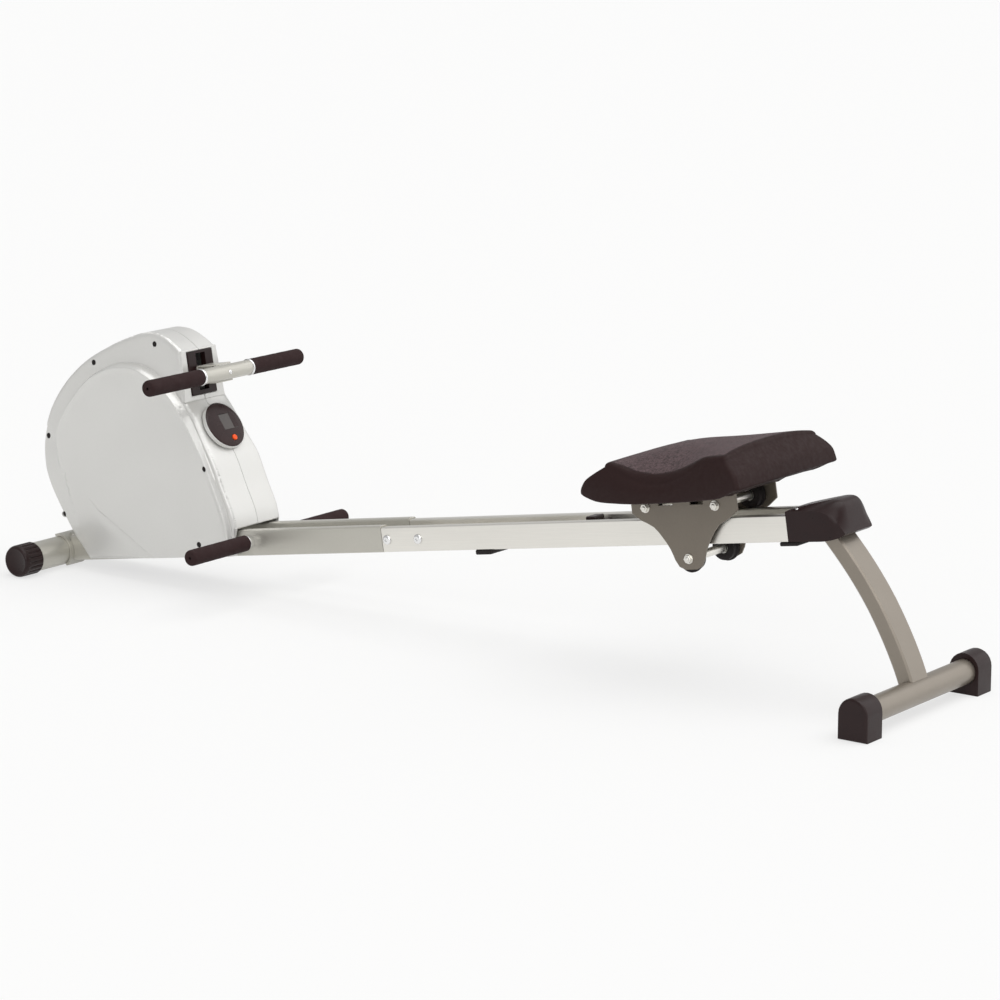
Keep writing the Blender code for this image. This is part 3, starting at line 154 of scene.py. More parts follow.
class Finish:
    """A Principled material with textures laid out in metres on the object."""

    def __init__(self, name, colour, roughness, metallic=0.0, **sockets):
        self.material = bpy.data.materials.new(name)
        self.material.use_nodes = True
        self.tree = self.material.node_tree
        self.shader = self.tree.nodes["Principled BSDF"]
        self.colour = colour
        sockets.update(Base_Color=(*colour, 1.0), Roughness=roughness, Metallic=metallic)
        for socket, value in sockets.items():
            self.shader.inputs[socket.replace("_", " ")].default_value = value
        self.place = self.node("ShaderNodeTexCoord").outputs["Object"]
        self.relief = None

    def node(self, kind, links=(), **settings):
        return node(self.tree, kind, links, **settings)

    def laid(self, stretch=(1, 1, 1), turn=(0, 0, 0), origin=(0, 0, 0)):
        """The place turned into a frame and measured in units of stretch."""
        links = {"Vector": self.place, "Location": origin, "Rotation": turn, "Scale": stretch}
        return self.node("ShaderNodeMapping", links, vector_type="TEXTURE").outputs["Vector"]

    def noise(self, size, detail=3.0, rough=0.55, place=None):
        links = {"Vector": place or self.place, "Scale": 1.0 / size, "Detail": detail, "Roughness": rough}
        return self.node("ShaderNodeTexNoise", links).outputs["Fac"]

    def cells(self, size, feature="F1"):
        links = {"Vector": self.place, "Scale": 1.0 / size}
        return self.node("ShaderNodeTexVoronoi", links, feature=feature).outputs["Distance"]

    def wave(self, size, place, profile, direction):
        links = {"Vector": place, "Scale": 0.3142 / size}
        return self.node("ShaderNodeTexWave", links, wave_profile=profile,
                         bands_direction=direction).outputs["Fac"]

    def sum(self, a, b, how="ADD"):
        return self.node("ShaderNodeMath", {0: a, 1: b}, operation=how).outputs[0]

    def spread(self, value, low, high, start=0.3, end=0.7):
        links = {"Value": value, "From Min": start, "From Max": end, "To Min": low, "To Max": high}
        return self.node("ShaderNodeMapRange", links).outputs["Result"]

    def tint(self, amount, first, second, source=None):
        """Base colour between two tones, over the colour that is there already."""
        links = {"Factor": amount, 6: source or (*first, 1.0), 7: (*second, 1.0)}
        mixer = self.node("ShaderNodeMix", links, data_type="RGBA")
        self.tree.links.new(mixer.outputs[2], self.shader.inputs["Base Color"])

    def vary(self, value, share, start=0.3, end=0.7):
        """Base colour that wanders by a share either way."""
        dark = tuple(c * (1 - share) for c in self.colour)
        light = tuple(min(1.0, c * (1.0 + share)) for c in self.colour)
        self.tint(self.spread(value, 0.0, 1.0, start, end), dark, light)

    def rough(self, value, low, high, start=0.3, end=0.7):
        amount = self.spread(value, low, high, start, end)
        self.tree.links.new(amount, self.shader.inputs["Roughness"])

    def bump(self, height, depth, strength=1.0):
        """Relief of a depth in metres, on top of any relief made before."""
        links = {"Height": height, "Distance": depth, "Strength": strength}
        if self.relief is not None:
            links["Normal"] = self.relief
        self.relief = self.node("ShaderNodeBump", links).outputs["Normal"]
        self.tree.links.new(self.relief, self.shader.inputs["Normal"])


RAIL_TURN = (0.0, -RAIL_TILT, 0.0)


def metallic_paint(name, colour, roughness, metallic, flake=0.06, peel=0.00004):
    """Sprayed metallic paint: flakes, a faint orange peel and slight handling marks."""
    finish = Finish(name, colour, roughness, metallic, Coat_Weight=0.25, Coat_Roughness=0.22)
    flakes = finish.cells(0.0007)
    finish.vary(flakes, flake, 0.1, 0.6)
    cloud = finish.noise(0.09, 4.0)
    finish.rough(cloud, roughness - 0.05, roughness + 0.07)
    finish.bump(finish.noise(0.0035, 2.0), peel)
    finish.bump(flakes, 0.000002)
    return finish.material


def brushed_metal(name, colour, roughness):
    """Metal brushed along the rails."""
    finish = Finish(name, colour, roughness, 1.0)
    streak = finish.noise(1.0, 3.0, 0.6, finish.laid((0.08, 0.00035, 0.00035), RAIL_TURN))
    soft = finish.noise(0.12, 3.0, 0.5, finish.laid((3.0, 1.0, 1.0), RAIL_TURN))
    finish.vary(streak, 0.055)
    finish.rough(finish.sum(streak, soft, "MULTIPLY"), roughness - 0.06, roughness + 0.1, 0.15, 0.35)
    finish.bump(streak, 0.000012)
    return finish.material


def moulded_plastic(name, colour, roughness, grain=0.0009, depth=0.00005, vary=0.1):
    """Injection-moulded plastic with a spark-eroded grain and rubbed patches."""
    finish = Finish(name, colour, roughness, 0.0, Specular_IOR_Level=0.24)
    fine = finish.cells(grain, "SMOOTH_F1")
    cloud = finish.noise(0.03, 4.0)
    finish.vary(cloud, vary)
    finish.rough(cloud, roughness - 0.06, roughness + 0.08)
    finish.bump(fine, depth)
    finish.bump(finish.noise(0.012, 2.0), depth * 0.6)
    return finish.material


def foam_rubber(name, colour):
    """Closed-cell foam sleeve: matt, pitted, with faint ground rings; the pits are darkened as painted shade.
    """
    finish = Finish(name, colour, 0.78, 0.0, Specular_IOR_Level=0.16)
    pits = finish.cells(0.0011)
    cloud = finish.noise(0.02, 4.0)
    # Painted shade: each pit is darkened towards its bottom, where its relief is lowest.
    finish.vary(pits, 0.22, 0.05, 0.6)
    finish.rough(cloud, 0.68, 0.88)
    finish.bump(pits, 0.00022)
    finish.bump(finish.noise(1.0, 2.0, 0.5, finish.laid((0.02, 0.0016, 0.02))), 0.0001)
    return finish.material


def plain_metal(name, colour, roughness, mottling):
    finish = Finish(name, colour, roughness, 1.0)
    finish.vary(finish.noise(0.006, 4.0), mottling)
    finish.rough(finish.noise(0.018, 3.0), roughness * 0.8, roughness * 1.4)
    finish.bump(finish.noise(0.0012, 2.0), 0.00001)
    return finish.material


def rubber_compound(name, colour):
    finish = Finish(name, colour, 0.6, 0.0, Specular_IOR_Level=0.24)
    cloud = finish.noise(0.008, 4.0)
    finish.vary(cloud, 0.25)
    finish.rough(cloud, 0.48, 0.72)
    finish.bump(finish.noise(0.0008, 2.0), 0.00003)
    return finish.material


def turned_iron(name, colour):
    """Cast iron with fine facing rings round the flywheel's axis."""
    finish = Finish(name, colour, 0.45, 1.0)
    centre = RAIL @ Vector((0.235, 0.0, 0.19))
    place = finish.laid(origin=tuple(centre))
    rings = finish.node("ShaderNodeTexWave", {"Vector": place, "Scale": 320.0, "Distortion": 0.2},
                        wave_type="RINGS", rings_direction="Y").outputs["Fac"]
    cloud = finish.noise(0.02, 4.0)
    finish.vary(cloud, 0.2)
    finish.rough(cloud, 0.34, 0.58)
    finish.bump(rings, 0.00002)
    return finish.material


def woven_webbing(name, colour):
    """Polyester webbing: ribs across the band and a herringbone along it, darkened in the hollows of the
    weave as painted shade.
    """
    finish = Finish(name, colour, 0.85, 0.0, Sheen_Weight=0.25, Sheen_Roughness=0.5)
    band = finish.laid(turn=RAIL_TURN)
    ribs = finish.wave(0.0016, band, "SIN", "X")
    yarn = finish.wave(0.0022, band, "TRI", "Y")
    weave = finish.sum(ribs, yarn, "MULTIPLY")
    # Painted shade: the weave is darker where its relief is low.
    finish.vary(weave, 0.45, 0, 1)
    finish.bump(weave, 0.00028)
    finish.bump(finish.noise(0.0006, 2.0), 0.00008)
    return finish.material


def seat_skin(name):
    """Moulded skin over foam: pebbled over the top, smooth on the rolled rim; the rolled rim and the sides
    are darkened as painted shade.
    """
    # The rim tone is painted shade: the rolled rim and the sides, which face away from the light, are made
    # darker than the top.
    top, rim = (0.098, 0.068, 0.071), (0.023, 0.0105, 0.01)
    finish = Finish(name, top, 0.6, 0.0, Specular_IOR_Level=0.16)
    rim_gap = finish.node("ShaderNodeAttribute", attribute_name="rim_gap").outputs["Fac"]
    wander = finish.sum(finish.noise(0.02, 2.0), 0.0016, "MULTIPLY")
    # 1 over the top inside the rim, 0 beyond it: it places the pebbled grain, and beyond it the painted
    # shade.
    grain_and_shade_mask = finish.spread(finish.sum(rim_gap, wander), 0.0, 1.0, 0.011, 0.013)
    off_rim = finish.sum(finish.sum(rim_gap, 0.011, "SUBTRACT"), 0.0, "ABSOLUTE")
    groove = finish.spread(off_rim, 0.0, 1.0, 0.0, 0.0016)
    pebble = finish.cells(0.0034, "SMOOTH_F1")
    creases = finish.node("ShaderNodeTexVoronoi", {"Vector": finish.place, "Scale": 260.0},
                          feature="DISTANCE_TO_EDGE").outputs["Distance"]
    cloud = finish.noise(0.01, 5.0, 0.65)
    speckle = finish.sum(finish.noise(0.0042, 3.0, 0.7), cloud)
    finish.vary(speckle, 0.42, 0.8, 1.2)
    tone = finish.shader.inputs["Base Color"].links[0].from_socket
    # Painted shade: the rolled rim and the sides are darkened from the speckled tone towards the rim tone.
    finish.tint(finish.sum(1.0, grain_and_shade_mask, "SUBTRACT"), top, rim, tone)
    finish.rough(cloud, 0.5, 0.72)
    finish.bump(finish.sum(finish.sum(pebble, cloud), grain_and_shade_mask, "MULTIPLY"), 0.0011, 0.9)
    finish.bump(finish.sum(finish.spread(creases, 0.0, 1.0, 0.0, 0.08), grain_and_shade_mask, "MULTIPLY"), 0.00035)
    finish.bump(groove, 0.0007)
    finish.bump(finish.noise(0.0009, 2.0), 0.00005)
    return finish.material


def display_window(name):
    """A dark display under clear plastic."""
    finish = Finish(name, (0.04, 0.03, 0.026), 0.16, 0.0, Coat_Weight=0.3, Coat_Roughness=0.08)
    finish.vary(finish.noise(0.02, 2.0), 0.12)
    finish.rough(finish.noise(0.006, 3.0), 0.08, 0.2)
    return finish.material


LOOKS = {
    "champagne_paint": metallic_paint("champagne_metallic", (0.5, 0.485, 0.435), 0.36, 0.55),
    "leg_paint": metallic_paint("leg_metallic", (0.252, 0.22, 0.182), 0.36, 0.55),
    "brushed_aluminium": brushed_metal("brushed_aluminium", (0.8, 0.78, 0.73), 0.34),
    "silver_housing": metallic_paint("silver_moulding", (0.672, 0.667, 0.645), 0.34, 0.4, 0.04, 0.00002),
    "dark_brown_plastic": moulded_plastic("dark_moulding", (0.019, 0.0085, 0.0085), 0.33),
    "computer_face_plastic": moulded_plastic("face_moulding", (0.026, 0.0115, 0.0115), 0.26, 0.0006, 0.00002),
    "foam_grip": foam_rubber("foam_sleeve", (0.027, 0.014, 0.0142)),
    "seat_skin": seat_skin("seat_skin"),
    "chrome": plain_metal("bright_plating", (0.82, 0.82, 0.82), 0.1, 0.02),
    "plate_paint": metallic_paint("plate_metallic", (0.175, 0.15, 0.12), 0.4, 0.45, 0.1, 0.00008),
    "plain_steel": plain_metal("zinc_plating", (0.52, 0.52, 0.5), 0.34, 0.1),
    "flywheel_iron": turned_iron("turned_iron", (0.16, 0.16, 0.165)),
    "black_rubber": rubber_compound("roller_rubber", (0.014, 0.011, 0.011)),
    "webbing": woven_webbing("woven_webbing", (0.02, 0.018, 0.02)),
    "orange_plastic": moulded_plastic("button_moulding", (0.85, 0.095, 0.016), 0.34, 0.0006, 0.00001, 0.05),
    "display_lens": display_window("display_window"),
}


# Mesh helpers
def placed(name, data):
    """A new object in the scene."""
    made = bpy.data.objects.new(name, data)
    bpy.context.scene.collection.objects.link(made)
    return made


def finished(made, look, smooth):
    """A piece with its finish, smooth up to an angle in degrees."""
    made.data.materials.clear()
    made.data.materials.append(LOOKS[look])
    made.data.shade_smooth()
    made.data.set_sharp_from_angle(angle=math.radians(smooth))


def piece(name, mesh, look, body, smooth=35.0, replaced=None):
    """A new piece in the world frame that rides on a body, and the solid it stands for, if any."""
    made = placed(name, mesh)
    finished(made, look, smooth)
    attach(made, body)
    if replaced:
        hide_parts(replaced)
    return made


def bevelled(made, width, segments, angle, harden=True):
    edge = made.modifiers.new("Edges", "BEVEL")
    edge.width = width
    edge.segments = segments
    edge.limit_method = "ANGLE"
    edge.angle_limit = math.radians(angle)
    edge.harden_normals = harden


def to_mesh(work, name, matrix=None):
    """The bmesh as a mesh with its faces outwards, moved by a matrix."""
    bmesh.ops.recalc_face_normals(work, faces=work.faces)
    mesh = bpy.data.meshes.new(name)
    work.to_mesh(mesh)
    work.free()
    if matrix is not None:
        mesh.transform(matrix)
    return mesh


def skin(work, rows, ends=True, closed=False):
    """Faces between rows of vertices; a row of one vertex makes a tip."""
    pairs = list(zip(rows, rows[1:]))
    if closed:
        pairs.append((rows[-1], rows[0]))
    for a, b in pairs:
        for k in range(max(len(a), len(b))):
            m = k + 1
            corners = dict.fromkeys((a[k % len(a)], a[m % len(a)], b[m % len(b)], b[k % len(b)]))
            work.faces.new(list(corners))
    for row in (rows[0], rows[-1]):
        if ends and len(row) > 2:
            work.faces.new(row)


def ring(work, radius, height, steps, matrix):
    """A circle of vertices about the Z axis, or one vertex on it, in millimetres."""
    turns = [2 * math.pi * k / steps for k in range(steps if radius else 1)]
    points = [Vector((radius * math.cos(a), radius * math.sin(a), height)) for a in turns]
    return [work.verts.new(matrix @ (point * MM)) for point in points]


def block_mesh(low, high):
    """A box between two corners."""
    work = bmesh.new()
    bmesh.ops.create_cube(work, size=1.0)
    low, high = Vector(low), Vector(high)
    bmesh.ops.scale(work, vec=high - low, verts=work.verts)
    bmesh.ops.translate(work, vec=(low + high) / 2, verts=work.verts)
    return to_mesh(work, "block")


def carved(mesh, tools):
    """The mesh with each tool's volume taken away."""
    holder = placed("carved", mesh)
    cutters = [placed("cutter", tool) for tool in tools]
    for cutter in cutters:
        step = holder.modifiers.new("Cut", "BOOLEAN")
        step.operation, step.solver, step.object = "DIFFERENCE", "EXACT", cutter
    bpy.context.view_layer.update()
    depsgraph = bpy.context.evaluated_depsgraph_get()
    final = bpy.data.meshes.new_from_object(holder.evaluated_get(depsgraph))
    for extra in [holder] + cutters:
        bpy.data.objects.remove(extra, do_unlink=True)
    return final


def turned(work, profile, matrix=None, steps=32, closed=False):
    """Add a turned form to a bmesh: profile points are (radius, height) on the Z axis."""
    rings = [ring(work, radius, height, steps, matrix or Matrix()) for radius, height in profile]
    skin(work, rings, False, closed)


def spun(name, look, body, matrix, forms, replaced=None, smooth=30.0):
    """One piece of turned forms, each given as turned() takes it."""
    work = bmesh.new()
    for form in forms:
        turned(work, *form)
    piece(name, to_mesh(work, name, matrix), look, body, smooth, replaced)


def toward(where, direction):
    """A frame at a point whose Z axis looks along a direction."""
    return Matrix.Translation(where) @ Vector(direction).to_track_quat("Z", "Y").to_matrix().to_4x4()


def smooth_line(points, per):
    """A smooth curve through the points, in pieces of third degree."""
    line = []
    last = len(points) - 1
    for i in range(last):
        a, b, c, d = [Vector(points[min(max(j, 0), last)]) for j in range(i - 1, i + 3)]
        for k in range(per):
            t = k / per
            p = b * 2 + (c - a) * t + (a * 2 - b * 5 + c * 4 - d) * t * t
            p += (b * 3 - a - c * 3 + d) * t ** 3
            line.append(tuple(p / 2))
    line.append(tuple(points[-1]))
    return line


def even_line(points, step):
    """The polyline with its points moved to an even spacing, its corners kept nearly."""
    track = np.array(points, float)
    lengths = np.concatenate([[0.0], np.cumsum(np.linalg.norm(np.diff(track, axis=0), axis=1))])
    count = max(2, int(round(lengths[-1] / step)) + 1)
    wanted = np.linspace(0.0, lengths[-1], count)
    return np.stack([np.interp(wanted, lengths, track[:, k]) for k in (0, 1)], axis=1)


def shifted(line, amount):
    """A polyline moved sideways, to the right of its direction for a positive amount."""
    along = np.gradient(line, axis=0)
    along /= np.linalg.norm(along, axis=1)[:, None]
    return line + np.stack([along[:, 1], -along[:, 0]], axis=1) * amount


def distance_to(points, line):
    """Distance from each point to a polyline, and which side it is on (right is positive)."""
    start, end = line[:-1], line[1:]
    run = end - start
    length = (run ** 2).sum(1)
    gap = points[:, None, :] - start[None, :, :]
    share = np.clip((gap * run[None]).sum(2) / length[None], 0, 1)
    offset = gap - share[..., None] * run[None]
    far = np.sqrt((offset ** 2).sum(2))
    near = far.argmin(1)
    rows = np.arange(len(points))
    g = gap[rows, near]
    r = run[near]
    side = np.sign(r[:, 1] * g[:, 0] - r[:, 0] * g[:, 1])
    side[side == 0] = 1.0
    return far[rows, near], side


def inside(points, loop):
    """Which points lie inside a closed polygon."""
    found = np.zeros(len(points), bool)
    x, y = points[:, 0], points[:, 1]
    for (x0, y0), (x1, y1) in zip(loop, np.roll(loop, -1, axis=0)):
        crosses = (y0 > y) != (y1 > y)
        with np.errstate(divide="ignore", invalid="ignore"):
            at = (x1 - x0) * (y - y0) / (y1 - y0) + x0
        found ^= crosses & (x < at)
    return found


def ramp(value, start, end):
    t = np.clip((value - start) / (end - start), 0, 1)
    return t * t * (3 - 2 * t)


# Drive housing
def shell_outline():
    """The shell's side view: front foot, crown, face with the bezel, slope and rear foot."""
    crown = smooth_line([
        (0.058, 0.055), (0.03, 0.115), (0.009, 0.168), (0.001, 0.214), (0.006, 0.268), (0.031, 0.328),
        (0.08, 0.383), (0.146, 0.4265), (0.226, 0.4563), (0.286, 0.4712), (0.322, 0.4762),
        (0.345, 0.475), (0.371, 0.468), (0.397, 0.452), (FACE_S, 0.432)], 8)
    face = [(FACE_S, WINDOW_N[1]), (FACE_S, WINDOW_N[0]), (FACE_S, 0.3275), (0.4206, 0.3258),
            (0.4222, 0.3235)]
    slope = smooth_line([
        (0.4245, 0.3205), (0.445, 0.289), (0.466, 0.243), (0.488, 0.197), (0.503, 0.143),
        (0.519, 0.09), (0.522, 0.058)], 8)
    return np.array([(0.093, 0.003)] + crown + face + slope + [(0.515, 0.04), (0.513, 0.002)])


def wall_half(n):
    """Half width of the shell beside the panel: its upper part leans inwards."""
    over = n - LEAN_N
    return SHELL_HALF - LEAN * 0.5 * (over + np.sqrt(over * over + 0.0002))


def sweep_line():
    """The swept edge of the raised panel, from its front tail over the top to the rear foot."""
    return np.array(smooth_line([
        (0.06, 0.205), (0.058, 0.232), (0.065, 0.279), (0.095, 0.32), (0.133, 0.353), (0.175, 0.382),
        (0.225, 0.399), (0.268, 0.402), (0.315, 0.392), (0.375, 0.35), (0.412, 0.3), (0.437, 0.252),
        (0.461, 0.195), (0.478, 0.137), (0.494, 0.072), (0.499, 0.003)], 10))


def flank(points, outline, sweep):
    """How far the shell's side stands from the middle plane at each (s, n)."""
    edge, _ = distance_to(points, outline)
    deep = np.clip(edge, 0.0, SHELL_ROLL)
    rolled = SHELL_ROLL - np.sqrt(SHELL_ROLL ** 2 - (SHELL_ROLL - deep) ** 2)
    far, side = distance_to(points, sweep)
    within = far * side
    s, n = points[:, 0], points[:, 1]
    wall = wall_half(n)
    wall += (SHELL_HALF - wall) * ramp(within, -0.0155, -0.0115)

    # In front of the crease the side falls away towards the lower front corner
    fold, hand = distance_to(points, FOLD)
    ahead = np.where(hand > 0, fold, -fold)
    soft = 0.0008 + 0.04 * ramp(n, 0.1, 0.21)
    fall = 0.5 * (ahead + np.sqrt(ahead * ahead + soft * soft)) - 0.5 * soft
    level = np.clip(1 - fall / FOLD_REACH, 0, 1)
    sharp = ramp(n, 0.0, 0.03) * (1 - ramp(n, 0.085, 0.15))
    fade = np.exp(-np.clip(ahead, 0.0, None) / 0.014)
    step = CREASE_STEP * ramp(ahead, -0.0004, 0.0012) * fade * sharp

    rear = ramp(s, 0.3, 0.42)
    tail = np.where(s < 0.13, ramp(n, 0.215, 0.3), 1.0)
    rise = ramp(within, -0.012, -0.007)
    crest = (SHELL_BEAD - SHELL_HALF) * (1 - ramp(within, -0.0055, 0.0045))
    body = (SHELL_PANEL - SHELL_HALF) * ramp(within, -0.0055, 0.0045)
    groove = (0.0008 + 0.0012 * rear) * np.exp(-((within + 0.0135) / 0.0022) ** 2) * tail
    lift = rise * (crest * tail + body + crest * (1 - tail) * 0.55) * level
    shade = ramp(edge, 0.0, SHELL_ROLL)
    return wall + (lift - groove - step) * shade - rolled - FOLD_SLOPE * fall


def shell_sheet(outline, sweep):
    """Triangles over the shell's side view, close along its edge, its bead and its fold."""
    rings = []
    for line, step, offsets in (
            (outline, 0.0045, (0.6, 1.5, 2.7, 4.2, 6.0, 8.0)),
            (sweep, 0.0035, (-21, -18, -16.2, -14.8, -13.4, -12.2, -10.8, -9.4, -8, -6.6, -5, -3,
                             -0.8, 1.8, 4.6, 8)),
            (FOLD, 0.0045, (-5, -2, -0.7, 0, 0.7, 2, 5))):
        even = even_line(line, step)
        rings += [shifted(even, offset * MM) for offset in offsets]
    points = np.vstack(rings)
    edge, _ = distance_to(points, np.vstack([outline, outline[:1]]))
    kept = points[inside(points, outline) & (edge > 0.0004)]
    low, high = outline.min(0), outline.max(0)
    s, n = np.meshgrid(np.arange(low[0], high[0], GRID), np.arange(low[1], high[1], GRID))
    grid = np.stack([s.ravel(), n.ravel()], axis=1)
    grid[:, 0] += GRID / 2 * (np.round(grid[:, 1] / GRID) % 2)
    grid = grid[inside(grid, outline)]
    clear = [np.sqrt(((kept - point) ** 2).sum(1)).min() > 0.0036 for point in grid]
    kept = np.vstack([kept, grid[clear]])

    # Thin out points that almost coincide, and clear each screw seat
    cells = {}
    for point in kept:
        cells.setdefault((round(point[0] / 0.0006), round(point[1] / 0.0006)), point)
    kept = np.array(list(cells.values()))
    loops = [outline, kept]
    turn = np.arange(SEAT_STEPS) * (2 * math.pi / SEAT_STEPS)
    circle = np.stack([np.cos(turn), np.sin(turn)], axis=1)
    for centre in SHELL_SCREWS:
        loops[1] = loops[1][np.hypot(*(loops[1] - centre).T) > SCREW_SEAT + 0.0018]
        loops += [radius * circle + centre for radius in (SCREW_SEAT, SCREW_SEAT + 0.0008)]
    edges, base = [], 0
    for k, loop in enumerate(loops):
        count = len(loop)
        if k != 1:
            edges += [(base + m, base + (m + 1) % count) for m in range(count)]
        base += count
    flat, _, faces = delaunay_2d_cdt([Vector(p) for p in np.vstack(loops)], edges,
                                     [list(range(len(outline)))], 1, 1e-7)[:3]
    flat = np.array([tuple(v) for v in flat])
    faces = [f for f in faces if len(f) == 3]
    middles = np.array([flat[list(f)].mean(0) for f in faces])
    keep = np.ones(len(faces), bool)
    for centre in SHELL_SCREWS:
        keep &= np.hypot(*(middles - centre).T) > SCREW_SEAT * 0.97
    return flat, [f for f, k in zip(faces, keep) if k]


def shell_half(side, hand):
    """One moulded half: its side, its rim as far as the seam, and its openings."""
    outline = shell_outline()
    sweep = sweep_line()
    flat, faces = shell_sheet(outline, sweep)
    away = flank(flat, outline, sweep)
    for centre in SHELL_SCREWS:
        reach = np.hypot(*(flat - centre).T)
        away -= 0.0006 * (1 - ramp(reach, SCREW_SEAT, SCREW_SEAT + 0.0009))
    work = bmesh.new()
    verts = [work.verts.new((p[0], -y, p[1])) for p, y in zip(flat, away)]
    for face in faces:
        work.faces.new([verts[k] for k in face])
    for lone in [v for v in verts if not v.link_faces]:
        work.verts.remove(lone)

    # Sink each screw seat into the side
    def new_verts(made):
        return [g for g in made if isinstance(g, bmesh.types.BMVert)]

    sunk = set()
    floors = SCREW_FLOOR - flank(np.array(SHELL_SCREWS), outline, sweep)
    for centre, floor in zip(SHELL_SCREWS, floors):
        reach = {v: math.hypot(v.co.x - centre[0], v.co.z - centre[1]) for v in work.verts}
        brim = [e for e in work.edges if e.is_boundary
                and all(abs(reach[v] - SCREW_SEAT) < 0.0002 for v in e.verts)]
        for v in new_verts(bmesh.ops.extrude_edge_only(work, edges=brim)["geom"]):
            v.co.y = float(floor)
            sunk.add(v)

    # Carry the rim across to the middle plane and turn it in a little at the seam
    rim = [e for e in work.edges if e.is_boundary and not any(v in sunk for v in e.verts)
           and not all(v.co.z < OPEN_FOOT for v in e.verts)]
    inward = {}
    closed = np.vstack([outline, outline[:1]])
    for a, b in zip(closed, closed[1:]):
        run = Vector(b - a).normalized()
        for point in (a, b):
            key = (round(point[0], 5), round(point[1], 5))
            inward[key] = inward.get(key, Vector((0, 0))) + Vector((run.y, -run.x))
    for level in (-0.056, -WINDOW_HALF, -0.02, -0.0006, -0.0002):
        made = bmesh.ops.extrude_edge_only(work, edges=rim)["geom"]
        rim = [g for g in made if isinstance(g, bmesh.types.BMEdge) and g.is_boundary
               and all(v in made for v in g.verts)]
        for v in new_verts(made):
            v.co.y = max(level, v.co.y + 0.0004)
            if level > -0.0005:
                turn = inward.get((round(v.co.x, 5), round(v.co.z, 5)), Vector((0, 0)))
                turn.normalize()
                v.co.x += turn.x * SEAM_TURN
                v.co.z += turn.y * SEAM_TURN

    # Openings: the bezel's window, the rails' way in and the open rear foot
    gone = []
    for face in work.faces:
        c = face.calc_center_median()
        window = abs(c.x - FACE_S) < 0.001 and WINDOW_N[0] < c.z < WINDOW_N[1] and c.y > -WINDOW_HALF
        rails = c.x < 0.095 and c.z < 0.055 and -0.056 < c.y < -WINDOW_HALF
        foot = c.x > 0.505 and c.z < 0.056 and c.y > -0.065
        if window or rails or foot:
            gone.append(face)
    bmesh.ops.delete(work, geom=gone, context="FACES")
    bmesh.ops.remove_doubles(work, verts=work.verts, dist=0.00002)
    mesh = to_mesh(work, "shell")
    if hand > 0:
        mesh.transform(Matrix.Diagonal((1.0, -1.0, 1.0, 1.0)))
        mesh.flip_normals()
    mesh.transform(RAIL)
    shell = piece("shell_" + side, mesh, "silver_housing", "frame", 28.0, "housing_" + side)
    wall = shell.modifiers.new("Wall", "SOLIDIFY")
    wall.thickness = SHELL_WALL
    wall.offset = -1.0
    wall.use_rim = True


def housing():
    levels = flank(np.array(SHELL_SCREWS), shell_outline(), sweep_line())
    for hand, name in SIDES:
        shell_half(name, hand)

        # The raised surround of the strap's bezel, one half on each shell
        work = bmesh.new()
        seam = 0.0004
        (foot, top), (sill, lintel) = SURROUND_N, WINDOW_N
        loop = [(float(wall_half(foot)), foot), (float(wall_half(top)), top), (seam, top),
                (seam, lintel), (WINDOW_HALF, lintel), (WINDOW_HALF, sill), (seam, sill), (seam, foot)]
        skin(work, [[work.verts.new((s, y * hand, n)) for y, n in loop] for s in SURROUND_S])
        surround = piece("bezel_surround_" + name, to_mesh(work, "surround", RAIL), "silver_housing",
                         "frame")
        bevelled(surround, 0.0018, 4, 30)

        # A pan-head screw at the bottom of each sunk seat, black and close under the surface, so that its
        # dark head also stands as painted shade of a deep screw hole.
        head = [(0, 0), (5.8, 0), (5.8, 2.0), (5.0, 2.8), (2.6, 3.1), (1.3, 3.1), (0, 1.4)]
        forms = [(head, toward((s, hand * (float(level) - SCREW_DEPTH), n), (0.0, hand, 0.0)), 20)
                 for (s, n), level in zip(SHELL_SCREWS, levels)]
        spun("shell_screws_" + name, "black_rubber", "frame", RAIL, forms, None, 35.0)


# Seat
def along(pairs, s):
    """The value at each s on the smooth curve through (s, value) pairs."""
    line = np.array(smooth_line(pairs, 8))
    return np.interp(s, line[:, 0], line[:, 1])


def seat_top(s, y):
    """Height of the seat's top: its middle line, blended into the rim at each side."""
    share = np.clip(np.abs(y) / along(TOP_HALF, s), 0, 1) ** 2.6
    return along(MIDDLE_N, s) * (1 - share) + along(RIM_N, s) * share


def rounded_square(side, corner, radius):
    """A loop round the unit square, with rounded corners."""
    line = []
    for quarter in range(4):
        a = math.pi / 2 * quarter
        turn = np.array([[math.cos(a), -math.sin(a)], [math.sin(a), math.cos(a)]])
        for k in range(side):
            line.append(turn @ (1.0, (2.0 * k / side - 1.0) * (1 - radius)))
        for k in range(corner):
            b = math.pi / 2 * k / corner
            line.append(turn @ (1 - radius + radius * math.cos(b), 1 - radius + radius * math.sin(b)))
    return np.array(line)


